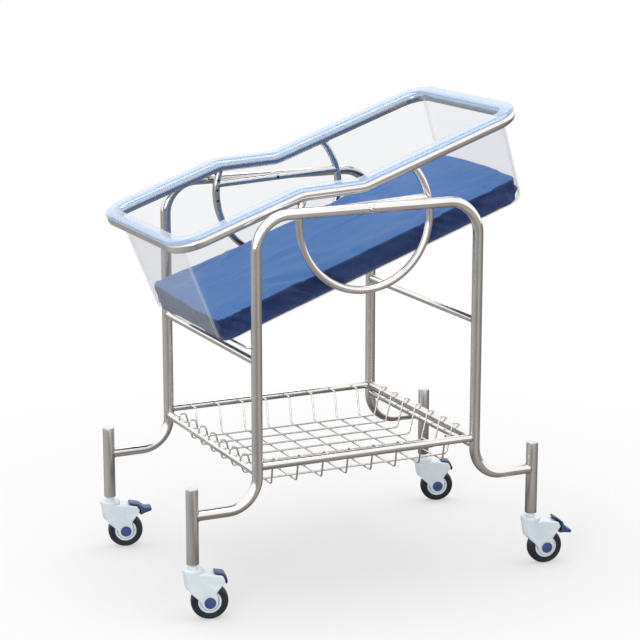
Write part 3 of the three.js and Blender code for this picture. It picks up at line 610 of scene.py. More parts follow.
def mattress_cover(name, top, fold_shade, shine):
    """Coated cover cloth: a fine weave under a soft sheen, and painted shade: darker in random patches that
    stand in for the shade of folds.
    """
    paint = Paint(name)
    threads = [
        paint.node(
            "TexWave",
            {"Vector": paint.place(), "Scale": 900.0, "Distortion": 0.4},
            bands_direction=direction,
        ).outputs["Fac"]
        for direction in "XY"
    ]
    weave = paint.maths("MULTIPLY", *threads)
    shade_patches = paint.grain(16.0, 4.0, 0.6, "Object", (0.5, 1, 1))
    crease = paint.grain(30.0, 3.0, 0.5, "Object", (0.35, 1, 1))
    coarse = paint.bump(crease, 0.0012, 0.35)
    paint.set(
        # painted shade: the darker tone in random patches stands in for the shade that falls in the cover's
        # folds
        Base_Color=paint.ramp(shade_patches, (0.30, fold_shade), (0.70, top)),
        Roughness=paint.span(shade_patches, 0.42, 0.55),
        Specular_IOR_Level=shine,
        Sheen_Weight=0.03,
        Sheen_Roughness=0.4,
        Normal=paint.bump(weave, 0.00012, 0.35, coarse),
    )
    return paint.material


def rubber():
    """Tire rubber: near black blue, a little paler in dusty patches."""
    paint = Paint("tire_rubber")
    dust = paint.grain(60.0, 5.0, 0.65)
    fine = paint.grain(900.0, 2.0)
    paint.set(
        Base_Color=paint.ramp(dust, (0.35, (0.006, 0.009, 0.018)), (0.75, (0.022, 0.027, 0.040))),
        Roughness=paint.span(dust, 0.38, 0.56),
        Normal=paint.bump(fine, 0.00008, 0.4),
    )
    return paint.material


STEEL = steel("steel_tube", (0.74, 0.72, 0.70), 0.12)
WIRE = steel("steel_wire", (0.70, 0.68, 0.66), 0.16, 1500.0)
ZINC = steel("steel_hardware", (0.66, 0.65, 0.64), 0.22, 1800.0)
BEAD = bead_steel()
# painted shade: near black for the walls of the drilled holes, standing in for the dark inside of the hollow
# hoop
HOLE_SHADE = plastic("hole_painted_shade", (0.008, 0.008, 0.01), 0.6, pebble=0.1)
WALL = clear_wall("basin_wall", 0.003)
# painted highlight: a hazier copy of the wall for the thin bright lines on the corner bends
WALL_HIGHLIGHT = clear_wall("basin_corner_painted_highlight", 0.24)
FLANGE = clear_flange()
COVER = mattress_cover("mattress_cover", (0.056, 0.172, 0.435), (0.048, 0.148, 0.390), 0.18)
# painted shade: the side's cloth is far darker than the top's, standing in for the shade that falls on the
# mattress's sides under the rim
SHADED_SIDE = mattress_cover("mattress_side_painted_shade", (0.009, 0.049, 0.195), (0.006, 0.029, 0.115), 0.30)
SHELL = plastic("caster_plastic", (0.86, 0.95, 1.0), 0.32, (0.79, 0.90, 0.99), coat=0.15)
CAP = plastic("axle_cap_plastic", (0.055, 0.093, 0.30), 0.30, coat=0.2)
BRAKE = plastic("brake_plastic", (0.040, 0.072, 0.205), 0.38)
PLUG = plastic("plug_plastic", (0.91, 0.97, 0.98), 0.36)
RUBBER = rubber()


# Trolley


def weld(shape, centre, big_axis, big_radius, small_axis, small_radius, bead, sides=8, seed=0):
    """Adds a bead along the line where a small round bar runs into a big one."""
    a = Vector(big_axis).normalized()
    b = Vector(small_axis).normalized()
    first = (a - b * a.dot(b)).normalized()
    second = b.cross(first)
    across = b - a * b.dot(a)
    square = across.length_squared
    count = 40
    points = []
    for k in range(count):
        angle = 2 * math.pi * k / count
        spoke = (first * math.cos(angle) + second * math.sin(angle)) * small_radius
        flat = spoke - a * spoke.dot(a)
        middle = flat.dot(across)
        rest = flat.length_squared - big_radius**2
        reach = (math.sqrt(max(middle**2 - square * rest, 0)) - middle) / square
        points.append(Vector(centre) + spoke + b * reach)
    stations = []
    sizes = []
    for k, point in enumerate(points):
        stations.append((point, (points[(k + 1) % count] - points[k - 1]).normalized()))
        ripple = 0.16 * math.sin(k * 2.4 + seed) + 0.14 * noise.noise(point * 0.35)
        sizes.append(bead * (1 + ripple))
    shape.tube(stations, sizes, sides, closed=True)


def trolley_tube(node, stations, radius=BAR_R, sides=28, material=STEEL):
    """A tube of the trolley that stands for one CAD node."""
    piece(node, Shape().tube(stations, radius, sides), [material], TROLLEY, "steel", 50)


def side_frames():
    """Each side frame is one tube: stub, leg, top rail, leg and stub."""
    for side, name in SIDES:
        y = side * SIDE_Y
        inner = POST_X - 5
        foot = [(-inner, y, STUB_Z), (-LEG_X, y, STUB_Z), (-LEG_X, y, RAIL_Z)]
        head = [(LEG_X, y, RAIL_Z), (LEG_X, y, STUB_Z), (inner, y, STUB_Z)]
        low = bent(foot, LOW_BEND)
        top = bent(foot[1:] + head[:2], TOP_BEND)
        last = bent(head, LOW_BEND)
        trolley_tube(f"side_frame_{name}", low[:-1] + top[1:-1] + last[1:], LEG_R, 36)


def crossbars():
    """Crossbars and basket rails between the legs, and the thin bar under the basin's foot."""
    inside = 4
    reach = SIDE_Y - inside
    for node, (x, z) in CROSSBARS.items():
        trolley_tube(node, bent([(x, -reach, z), (x, reach, z)], 0))
    reach = LEG_X - inside
    for side, name in SIDES:
        y = side * SIDE_Y
        trolley_tube(f"basket_rail_{name}", bent([(-reach, y, BASKET_Z), (reach, y, BASKET_Z)], 0))
    leg = -LEG_X - 6
    bar = -LEG_X - 20
    rest = [(leg, -SIDE_Y), (bar, -SIDE_Y), (bar, SIDE_Y), (leg, SIDE_Y)]
    rest = bent([(x, y, REST_BAR_Z) for x, y in rest], 8, 15)
    trolley_tube("basin_rest_bar", rest, REST_BAR_R, 16, WIRE)


def basket_wires():
    """The wires of the basket, each in one length from rail to rail."""
    shape = Shape()
    side_bend, side_floor = 208, 196.3
    side = [(SIDE_Y - 2, SIDE_HOOK_Z), (side_bend, SIDE_HOOK_Z), (side_floor, BASKET_FLOOR_Z)]
    cross = [(-y, z) for y, z in side] + side[::-1]
    end_bend, end_floor = 236, 220.3
    long = []
    for end, rail, hook in ((-1, BASKET_FOOT_Z + 2, 302), (1, BASKET_Z + 1, 308)):
        half = [(END_HOOK_X, rail), (END_HOOK_X, hook), (end_bend, hook), (end_floor, LONG_WIRE_Z)]
        long += [(end * x, z) for x, z in half[::-end]]
    wires = [[(x, y, z) for y, z in cross] for x in CROSS_WIRES]
    wires += [[(x, y, z) for x, z in long] for y in LONG_WIRES]
    for corners in wires:
        shape.tube(bent(corners, 6, 12), WIRE_R, 12)
    dress(scene_object("basket_wires", shape, [WIRE], TROLLEY, 50), "steel", "basket_floor")


def trolley_welds():
    """Beads where bars, stubs and wires meet the legs, posts and rails, as one piece."""
    shape = Shape()
    leg = (0, 0, 1)
    bar = BAR_R - 0.3
    stub = LEG_R - 0.2
    for side, _ in SIDES:
        y = side * SIDE_Y
        for x, z in CROSSBARS.values():
            weld(shape, (x, y, z), leg, LEG_R, (0, -side, 0), bar, 1.25, seed=x + z)
        for end in (-1, 1):
            inward = (-end, 0, 0)
            weld(shape, (end * LEG_X, y, BASKET_Z), leg, LEG_R, inward, bar, 1.2, seed=end)
            weld(shape, (end * POST_X, y, STUB_Z), leg, POST_R, inward, stub, 1.4, seed=3 * end + side)
        weld(shape, (-LEG_X, y, REST_BAR_Z), leg, LEG_R, (-1, 0, 0), REST_BAR_R + 0.1, 0.8, 6)
    # the wires run into the rails a few millimetres off their middle, where these reach less far
    side_reach, end_reach = 7.4, 7.0
    for x in CROSS_WIRES:
        for side, _ in SIDES:
            spot = (x, side * SIDE_Y, SIDE_HOOK_Z)
            weld(shape, spot, (1, 0, 0), side_reach, (0, -side, 0), WIRE_R, 0.7, 6, seed=x)
    for y in LONG_WIRES:
        for end, rail in ((-1, BASKET_FOOT_Z), (1, BASKET_Z)):
            spot = (end * END_HOOK_X, y, rail)
            weld(shape, spot, (0, 1, 0), end_reach, (0, 0, 1), WIRE_R, 0.7, 6, seed=y)
    dress(scene_object("trolley_welds", shape, [BEAD], TROLLEY, 60), "steel", body="trolley")


def posts():
    """The four posts, each with a plug in its top."""
    foot = 113
    top = 268
    tube = [(0, foot, 0), (11.2, foot, 0), (POST_R, foot + 1.6, 0.8), (POST_R, top, 0.5), (0, top, 0)]
    tube = fillet(tube, step=30)
    plug = [(0, 0.1, 0), (12.1, 0.1, 0.2), (12.5, 0.6, 0.2), (12.4, 2.2, 1.2), (9, 2.7, 3), (0, 2.7, 0)]
    plug = fillet([(r, top + z, bend) for r, z, bend in plug], step=20)
    for name, (end, side, _) in CASTERS.items():
        spot = (end * POST_X, side * SIDE_Y, 0)
        shape = Shape().turned(tube, 40, centre=spot)
        piece(f"post_{name}", shape, [STEEL], TROLLEY, "steel", 40)
        shape = Shape().turned(plug, 40, centre=spot)
        piece(f"post_plug_{name}", shape, [PLUG], TROLLEY, "plug", 40)


def hardware(node, outline, place, material=ZINC, slot="steel"):
    """A small part turned about the line through it across the crib."""
    piece(node, Shape().turned(outline, 32, "Y"), [material], place, slot, 30)


def pivots():
    """Bolt, nut and spacer of each pivot, drawn for the far side."""
    bolt = fillet(
        [
            (0, 201.5, 0), (3.1, 201.5, 0.3), (3.5, 202.2, 0.2), (3.5, 253.7, 0), (6.4, 253.7, 0.2),
            (6.4, 254.6, 0.4), (6.0, 254.7, 0.2), (5.8, 256.2, 1.4), (3.6, 257.8, 2.0), (2.3, 257.9, 0.2),
            (2.0, 255.6, 0.1), (0, 255.4, 0),
        ],
        step=15,
    )
    spacer = fillet(
        [
            (3.8, 221.3, 0), (6.1, 221.3, 0.3), (6.5, 221.8, 0.3), (6.5, 230.7, 0.3), (6.1, 231.2, 0.3),
            (3.8, 231.2, 0),
        ],
        step=30,
    )
    hexagon = [(5.6 * math.cos(a), 5.6 * math.sin(a)) for a in np.radians(np.arange(0, 360, 60))]
    for side, name in SIDES:
        place = TROLLEY @ Matrix.Translation((0, 0, RAIL_Z))
        if side < 0:
            place = place @ Matrix.Rotation(math.pi, 4, "Z")
        hardware(f"pivot_bolt_{name}", bolt, place)
        hardware(f"pivot_spacer_{name}", spacer + spacer[:1], place)
        nut = Shape().prism(hexagon, 201.5, 204.7, 0.35, 2)
        piece(f"pivot_nut_{name}", nut, [ZINC], place, "steel", 30)


def tilt_lock():
    """The plunger that locks the tilt, in a short barrel on the far top rail."""
    place = TROLLEY @ Matrix.Translation((-LOCK_R, 0, RAIL_Z))
    barrel = fillet(
        [(2.8, 253.8, 0), (6, 253.8, 0.3), (6, 257.2, 0.5), (5.4, 257.8, 0.3), (2.8, 257.8, 0)], step=30
    )
    hardware("lock_barrel", barrel + barrel[:1], place)
    pin = fillet(
        [
            (0, 221.6, 0), (1.8, 221.6, 0.3), (2.5, 222.4, 0.3), (2.5, 269.1, 0), (4.6, 269.1, 0.4),
            (6, 270.6, 0.8), (6, 275.4, 1.2), (4.4, 277.0, 0.8), (0, 277.1, 0),
        ],
        step=20,
    )
    hardware("lock_plunger", pin, place, BRAKE, "brake")


# Cradle


CORNER_STEPS = 14


def rim_stations():
    """Points of the rim's centre line, with their outward and upward directions."""
    corners = [
        (-RIM_X, 0, RIM_FOOT), (STEP_START, 0, RIM_FOOT), (STEP_END, 0, RIM_HEAD), (RIM_X, 0, RIM_HEAD),
    ]
    step = bent(corners, RIM_BEND, 2.5)[1:-1]

    def side(sign):
        run = [
            (Vector((p.x, sign * RIM_Y, p.z)), Vector((0, sign, 0)), Vector((-t.z, 0, t.x)))
            for p, t in step
        ]
        return run if sign < 0 else run[::-1]

    def corner(end, sign, height, start):
        run = []
        for k in range(CORNER_STEPS + 1):
            angle = math.radians(start + 90 * k / CORNER_STEPS)
            out = Vector((math.cos(angle), math.sin(angle), 0))
            middle = Vector((end * (RIM_X - RIM_CORNER), sign * (RIM_Y - RIM_CORNER), height))
            run.append((middle + out * RIM_CORNER, out, Vector((0, 0, 1))))
        return run

    return (
        side(-1)
        + corner(1, -1, RIM_HEAD, -90)
        + corner(1, 1, RIM_HEAD, 0)
        + side(1)
        + corner(-1, 1, RIM_FOOT, 90)
        + corner(-1, -1, RIM_FOOT, 180)
    )


STATIONS = rim_stations()


def ring(out, up):
    """The rim's line moved outwards and upwards."""
    return [p + o * out + u * up for p, o, u in STATIONS]


def level_ring(out, height):
    """The rim's line moved outwards, at one height all round."""
    return [Vector((*(p + o * out).xy, height)) for p, o, _ in STATIONS]


def rim_tube():
    angles = np.linspace(0, 2 * math.pi, 33)[:-1]
    rows = [ring(RIM_R * math.cos(a), RIM_R * math.sin(a)) for a in angles]
    shape = Shape()
    shape.grid(rows, closed=True)
    # the fine lines run round the tube here too
    shape.maps = [[(v, u) for u, v in face] for face in shape.maps]
    piece("rim_tube", shape, [STEEL], CRADLE, "steel", 50)


def drill_holes(hoop, y):
    """The three index holes: near mouths on the tube's middle, far ones where the plunger enters."""
    radius = 2.9
    shape = Shape()
    for degrees, mouth in ((160.4, 149.5), (170.2, 158.4), (180.0, 167.5)):
        for spot, start, end in (
            (polar((0, 0, 0), LOCK_R, degrees), -3.4, 12),
            (polar((HOOP_X, 0, HOOP_Z), HOOP_R, mouth), -12, -3.8),
        ):
            outline = [(0, y + start), (radius, y + start), (radius, y + end), (0, y + end)]
            # the holes' walls take the second material: near black, painted shade
            shape.turned(outline, 24, "Y", spot, paint=1)
    carve(hoop, scene_object("drills", shape, [STEEL, HOLE_SHADE], CRADLE))
    tidy(hoop, 50)


def hoops():
    """The two hoops under the rim, each with its chord, and the welds at their ends."""
    start = math.pi - math.asin((RIM_FOOT - HOOP_Z) / HOOP_R)
    end = 2 * math.pi + math.asin((RIM_HEAD - HOOP_Z) / HOOP_R)
    slope = math.atan2(RIM_HEAD - RIM_FOOT, STEP_END - STEP_START)
    heading = Vector((math.cos(slope), 0, math.sin(slope)))
    middle = Vector((HOOP_X, 0, HOOP_Z))
    beads = Shape()
    for side, name in SIDES:
        y = side * RIM_Y
        stations = arc((HOOP_X, y, HOOP_Z), HOOP_R, start, end, 3)
        shape = Shape().tube(stations, HOOP_TUBE_R, 28)
        made = scene_object(f"hoop_{name}_look", shape, [STEEL, HOLE_SHADE], CRADLE, 50)
        if side > 0:
            drill_holes(made, y)
        dress(made, "steel", f"hoop_{name}")
        ends = []
        for direction in (-heading, heading):
            along = middle.dot(direction)
            reach = along + math.sqrt(along**2 + HOOP_R**2 - middle.length_squared)
            spot = Vector((0, y, 0)) + direction * reach
            tangent = Vector((HOOP_Z - spot.z, 0, spot.x - HOOP_X)).normalized()
            weld(beads, spot, tangent, HOOP_TUBE_R, -direction, HOOP_TUBE_R - 0.3, 1.1, seed=along)
            ends.append(spot)
        chord = Shape().tube(bent(ends, 0), HOOP_TUBE_R, 28)
        piece(f"chord_{name}", chord, [STEEL], CRADLE, "steel", 50)
        for (point, tangent), turn in ((stations[0], 1), (stations[-1], -1)):
            weld(beads, point, (1, 0, 0), RIM_R, tangent * turn, HOOP_TUBE_R - 0.2, 1.3, seed=point.x)
    dress(scene_object("cradle_welds", beads, [BEAD], CRADLE, 60), "steel", body="cradle")


def basin():
    """One shell: tub wall, rounded foot, and the flange that saddles the rim and ends in a lip."""
    wall = 3
    gap = 0.4
    wall_out = -RIM_R - gap
    wall_in = wall_out - wall
    saddle = RIM_R + gap
    top = RIM_R + 4.5
    lip = top - 9
    low_out = wall_out - 9.5
    low_in = low_out - wall
    foot = 20
    inner = foot - wall
    edge = 3
    rows = []
    paints = []

    def add(row, paint):
        rows.append(row)
        paints.append(paint)

    for cos, sin in quarter(7):
        add(level_ring(low_in - inner + inner * sin, SHELL_BOTTOM + wall + inner * (1 - cos)), 0)
    low_ring = level_ring(low_in, SHELL_BOTTOM + foot)
    high_ring = ring(wall_in, top - edge)
    for share in (0.25, 0.5, 0.75, 0.93):
        add([below.lerp(above, share) for below, above in zip(low_ring, high_ring)], 0)
    for cos, sin in quarter(6):
        add(ring(wall_in + edge * (1 - cos), top - edge * (1 - sin)), 1)
    for out in (-6, 0, 6):
        add(ring(out, top), 1)
    for cos, sin in quarter(6):
        add(ring(RIM_R - edge * (1 - sin), top - edge * (1 - cos)), 1)
    add(ring(RIM_R + 0.2, lip + 0.6), 1)
    add(ring(RIM_R - 0.1, lip), 1)
    for a in np.linspace(math.asin(lip / saddle), math.pi, 14):
        add(ring(saddle * math.cos(a), saddle * math.sin(a)), 1)
    paints[-1] = 0
    for cos, sin in reversed(quarter(7)):
        add(level_ring(low_out - foot * (1 - sin), SHELL_BOTTOM + foot * (1 - cos)), 0)
    shape = Shape().closed_grid(rows, paints)
    # beside each end wall, whose flat is one face wide, the bends are painted hazier in thin lines: a
    # painted highlight
    columns = len(STATIONS)
    flats = [last - CORNER_STEPS - 2 for last in (columns // 2, columns)]
    highlight_bends = {flat + step for flat in flats for step in (-2, -1, 1, 2)}
    walls = (len(rows) - 1) * columns
    for k, colour in enumerate(shape.paints[:walls]):
        if colour == 0 and k % columns in highlight_bends:
            shape.paints[k] = 2
    piece("basin", shape, [WALL, FLANGE, WALL_HIGHLIGHT], CRADLE, "clear", 40)


# Mattress


PAD_X = 357
PAD_Y = 182
PAD_CORNER = 22
PAD_BOTTOM = SHELL_BOTTOM + 3.4
PAD_TOP = PAD_BOTTOM + 51
PAD_LONG_COUNT = 170
PAD_SHORT_COUNT = 82


def pad_ring(inset):
    """A rounded rectangle as an array of points, always of the same count."""
    radius = max(PAD_CORNER - inset, 2.0)
    x = PAD_X - inset - radius
    y = PAD_Y - inset - radius
    points = []
    for start, centre, target, count in (
        (-90, (x, -y), (x, y), PAD_SHORT_COUNT),
        (0, (x, y), (-x, y), PAD_LONG_COUNT),
        (90, (-x, y), (-x, -y), PAD_SHORT_COUNT),
        (180, (-x, -y), (x, -y), PAD_LONG_COUNT),
    ):
        for angle in np.radians(start + 9.0 * np.arange(10)):
            points.append((centre[0] + radius * math.cos(angle), centre[1] + radius * math.sin(angle)))
        angle = math.radians(start + 90)
        reach = np.array((radius * math.cos(angle), radius * math.sin(angle)))
        here = np.array(centre) + reach
        there = np.array(target) + reach
        points.extend(here + (there - here) * k / count for k in range(1, count))
    return np.array(points)


def swell(a, start, end):
    """0 up to the start, 1 from the end on, and a smooth rise between them."""
    a = np.clip((a - start) / (end - start), 0, 1)
    return a * a * (3 - 2 * a)


def pad_crown(points):
    """How far the top stands over its edge: more in the middle and where the head end is tucked up."""
    x, y = points[:, 0], points[:, 1]
    across = np.clip(1 - (y / PAD_Y) ** 2, 0, 1)
    along = np.clip(1 - (x / PAD_X) ** 4, 0, 1)
    head = swell(x, 190, 340)
    lean = 2.0 * y / PAD_Y
    far_foot = 5.0 * swell(-x, 250, 350) * swell(y, -60, 160)
    return across * (4.5 * along + 11.0 * head) + lean + far_foot


def pad_rows():
    """Rings from the middle of the underside, up the side, to the middle of the top."""
    low_edge = 7.0
    high_edge = 4.5
    side_start = PAD_BOTTOM + low_edge
    side_end = PAD_TOP - high_edge
    rows = []

    def add(inset, base, share):
        flat = pad_ring(inset)
        height = base + share * pad_crown(flat)
        rows.append(np.column_stack([flat, height]))

    for inset in (176, 120, 70, 36, 20, 12):
        add(inset, PAD_BOTTOM, 0)
    for cos, sin in quarter(4):
        add(low_edge * (1 - sin), side_start - low_edge * cos, 0.1 * sin)
    for share in np.linspace(0.12, 0.92, 9):
        drawn_in = 1.4 * math.sin(math.pi * share)
        add(drawn_in, side_start + share * (side_end - side_start), share)
    for cos, sin in quarter(4):
        add(high_edge * (1 - cos), side_end + high_edge * sin, 1)
    shaded_side_rows = len(rows) - 2
    for inset in np.concatenate([[7.5], np.linspace(11.5, 178, 38)]):
        add(inset, PAD_TOP, 1)
    return rows, shaded_side_rows


def vertex_array(mesh, name="co"):
    """A row of three numbers for each vertex."""
    values = np.empty(len(mesh.vertices) * 3)
    mesh.vertices.foreach_get(name, values)
    return values.reshape(-1, 3)


def puff(made):
    """Cloth simulation of a slightly loose cover under a little pressure, on an even copy.

    The broad swelling is taken off again. What is left, its puckers of 4.5 mm at most, is
    carried over to the piece's own points.
    """
    deepest, frames, broad_count = 0.0045, 20, 70
    trial = made.copy()
    trial.data = made.data.copy()
    scene = bpy.context.scene
    scene.collection.objects.link(trial)
    even = trial.modifiers.new("even", "REMESH")
    even.mode = "VOXEL"
    even.voxel_size = 0.009
    apply_modifiers(trial)
    before = vertex_array(trial.data)
    group = trial.vertex_groups.new(name="pin")
    low = np.nonzero(before[:, 2] < (PAD_BOTTOM + 4) * MM)[0]
    group.add([int(i) for i in low], 1.0, "REPLACE")
    cloth = trial.modifiers.new("cloth", "CLOTH")
    settings = cloth.settings
    settings.quality = 4
    settings.mass = 0.3
    settings.use_pressure = True
    settings.uniform_pressure_force = 0.8
    settings.shrink_min = -0.04
    settings.vertex_group_mass = "pin"
    settings.effector_weights.gravity = 0
    cloth.point_cache.frame_start = 1
    cloth.point_cache.frame_end = frames
    for step in range(1, frames + 1):
        scene.frame_set(step)
    depsgraph = bpy.context.evaluated_depsgraph_get()
    move = vertex_array(trial.evaluated_get(depsgraph).data) - before
    trial.modifiers.clear()
    scene.frame_set(1)
    tree = KDTree(len(before))
    for index, point in enumerate(before):
        tree.insert(point, index)
    tree.balance()
    nearest = [[index for _, index, _ in tree.find_n(point, broad_count)] for point in before]
    broad = np.array([move[indices].mean(axis=0) for indices in nearest])
    move = (move - broad) * 0.9
    move[low] = 0
    length = np.linalg.norm(move, axis=1, keepdims=True)
    move *= np.minimum(1, deepest / np.maximum(length, 1e-9))
    for vertex in made.data.vertices:
        total = Vector((0, 0, 0))
        weight = 0.0
        for _, index, distance in tree.find_n(vertex.co, 6):
            share = 1 / (distance + 0.002) ** 2
            total += Vector(move[index]) * share
            weight += share
        vertex.co += total / weight
    data = trial.data
    bpy.data.objects.remove(trial)
    bpy.data.meshes.remove(data)


def bulge(up):
    """1 halfway up the side and 0 at its edges."""
    return max(0.0, 4 * up * (1 - up)) ** 0.5


def side_folds(x, y, z, up, lengthwise):
    """Slanting folds and dents, calm at the far foot corner and along the far edge."""
    depth, pitch, lean, dent_depth = 4.4, 30, 62, 2.2
    run = x if lengthwise else y
    wander = noise.noise(Vector((run / 75, y / 300, 2.3)))
    patch = swell(noise.noise(Vector((run / 95, y / 200, 7.1))), -0.12, 0.25)
    wave = math.sin(2 * math.pi * ((run + lean * up) / pitch + 1.1 * wander))
    dent = noise.noise(Vector((run / 42, y / 200, z / 30 + 4)))
    corner_calm = 0.15 + 0.85 * swell(math.hypot(x + PAD_X, y - PAD_Y), 10, 70)
    edge_calm = 1 - 0.7 * swell(y, PAD_Y - 8, PAD_Y - 2)
    return bulge(up) * (depth * patch * wave + dent_depth * dent) * corner_calm * edge_calm


def top_folds(x, y):
    """Long folds and slight dents, calm along the far edge."""
    depth, width, dent_depth = 3.4, 0.2, 0.7
    valley = noise.noise(Vector((x / 170, y / 26 + x / 190, 5.5)))
    dent = noise.noise(Vector((x / 60, y / 45, 9.0)))
    return depth * max(width - abs(valley), 0) + dent_depth * dent


def foot_gathers(x, y, z, up, on_top):
    """Gathers at the near foot corner, which start at the top edge, and a dimple beside it."""
    reach, depth, pitch = 170, 2.8, 17
    dimple_depth, dimple_pitch, dimple_size = 2.4, 19, 26
    apart = math.hypot(x + PAD_X, y + PAD_Y)
    if apart >= reach or up <= -0.1:
        return 0.0
    fade = math.exp(-((apart / 95) ** 2)) * max(0.0, min(1.0, up)) ** 1.3
    inset = min(PAD_X + x, PAD_Y + y) if on_top else 0
    fade *= math.exp(-max(inset, 0) / 13)
    bearing = (x + PAD_X) - (y + PAD_Y)
    wander = 2.2 * noise.noise(Vector((x, y, z)) / 40)
    push = depth * fade * math.sin(2 * math.pi * bearing / pitch + wander)
    if y < -PAD_Y + 30:
        away = math.hypot(x + PAD_X - 34, z - PAD_BOTTOM - 22)
        ripple = math.cos(2 * math.pi * away / dimple_pitch)
        push += dimple_depth * math.exp(-((away / dimple_size) ** 2)) * ripple
    return push


def head_crumple(x, y, z, up, on_side):
    """The crumpled near head corner, with one long crease that slants down from the top edge."""
    reach, depth = 150, 9.5
    crease_start, crease_depth, crease_width = 62, 3.2, 7
    apart = math.hypot(x - PAD_X, y + PAD_Y)
    if apart >= reach:
        return 0.0
    fade = math.exp(-((apart / 62) ** 2))
    crumple = noise.noise(Vector(((x + 0.25 * z) / 17 + 3, y / 17, 8.0)))
    push = depth * fade * (bulge(up) if on_side else 0.35) * (0.2 - abs(crumple))
    if y < -PAD_Y + 26:
        away = (x - PAD_X + crease_start) + 0.99 * (PAD_TOP - z)
        push -= crease_depth * math.exp(-((away / crease_width) ** 2)) * swell(up, 0.15, 0.8)
    return push


def pad_folds(points, normals):
    """How far the cover's folds push each point out along its normal, in millimetres."""
    push = np.zeros(len(points))
    for i, ((x, y, z), (nx, ny, nz)) in enumerate(zip(points, normals)):
        up = (z - PAD_BOTTOM) / (PAD_TOP - PAD_BOTTOM)
        side = 1 - min(1, abs(nz) * 1.3)
        if side > 0.05:
            push[i] = side * side_folds(x, y, z, up, abs(ny) > abs(nx))
        if nz > 0.5:
            push[i] = (push[i] + top_folds(x, y)) * (1 - 0.85 * swell(y, PAD_Y - 45, PAD_Y - 12))
        push[i] += foot_gathers(x, y, z, up, nz > 0.6)
        push[i] += head_crumple(x, y, z, up, side > 0.3)
    return push


def mattress():
    """The padded mattress: puffed by a cloth run, then its folds sculpted, then fitted to the basin."""
    rows, shaded_side_rows = pad_rows()
    # the side's rows take the darker side cloth, a painted shade
    paints = [1] * shaded_side_rows + [0] * (len(rows) - shaded_side_rows)
    shape = Shape().closed_grid(rows, paints)
    made = scene_object("mattress_look", shape, [COVER, SHADED_SIDE], Matrix.Scale(MM, 4), 60)
    puff(made)
    points = vertex_array(made.data) / MM
    normals = vertex_array(made.data, "normal")
    push = pad_folds(points, normals)
    heights = np.array(shape.points)[:, 2]
    push[heights < PAD_BOTTOM + 1] = 0
    points = points + normals * push[:, None]
    # the cover stays within the basin's walls and floor
    limit = (PAD_X + 2, PAD_Y + 4.5)
    points[:, :2] = np.clip(points[:, :2], np.negative(limit), limit)
    points[:, 2] = np.maximum(points[:, 2], PAD_BOTTOM)
    # the head end's lower edge follows the basin's rounded floor
    round_height, round_depth = 24, 20
    fall = np.clip(1 - (points[:, 2] - PAD_BOTTOM) / round_height, 0, 1)
    inset = round_depth * (1 - np.sqrt(1 - fall**2))
    points[:, 0] -= inset * swell(points[:, 0], PAD_X - 40, PAD_X - 2)
    made.data.vertices.foreach_set("co", (points * MM).ravel())
    made.data.transform(CRADLE @ Matrix.Scale(1 / MM, 4))
    tidy(made, 75)
    dress(made, "cover", "mattress")


# Casters


WHEEL_CHEEK_R = 16.6
FORK_SIDE = fillet(
    [
        (15.0, 37.0, 0), (9.1, 43.8, 6), (-4.2, 56.2, 6), (-11.0, 66, 6), (-11.5, 96.2, 3.6),
        (8, 96.6, 6), (24, 97.6, 16), (40.5, 95.2, 12), (57.6, 92.0, 5), (63.4, 81.5, 4.5),
        (56.5, 70.8, 6), (45.2, 55.5, 6), (48.4, 47.0, 6), (48.6, 40.0, 0),
    ]
) + [polar(WHEEL, WHEEL_CHEEK_R, degrees)[::2] for degrees in range(0, -180, -9)]


def fork_mesh():
    """The caster's moulded fork: cheeks, round housing with its top ring, and wheel arch."""
    half, deep = 18, 2
    plain = Matrix.Identity(4)
    made = scene_object("fork", Shape().prism(FORK_SIDE, -half, half, 3.0, 4), [SHELL], plain)
    housing = fillet(
        [
            (0, 54, 0), (3.2, 54.6, 2), (14.6, 64.2, 2), (16.7, 71, 4), (19.7, 95.2, 0.4), (19.1, 95.6, 0.2),
            (19.1, 96.6, 0.2), (21.0, 97.2, 0.5), (21.0, 103.6, 1.4), (19.4, 105.0, 1.0), (9.4, 105.0, 0.4),
            (9.2, 102.5, 0), (0, 102.5, 0),
        ],
        step=15,
    )
    recess = fillet([(17, 83.5, 4), (59, 77.3, 3), (46.5, 64.5, 4), (40, 66, 3)], closed=True)
    arch = [(0, -13), (40.5, -13), (40.5, 13), (0, 13)]
    for shape, operation in (
        (Shape().prism(recess, -half - deep, -half + deep), "DIFFERENCE"),
        (Shape().prism(recess, half - deep, half + deep), "DIFFERENCE"),
        (Shape().turned(housing, 48), "UNION"),
        (Shape().turned(arch, 64, "Y", WHEEL), "DIFFERENCE"),
    ):
        carve(made, scene_object("tool", shape, [SHELL], plain), operation)
    tidy(made, 32)
    return made


def both_sides(half, step):
    """A turned outline from its half on one side of the wheel's middle."""
    return fillet([(radius, -y, bend) for radius, y, bend in reversed(half)] + half, step=step)


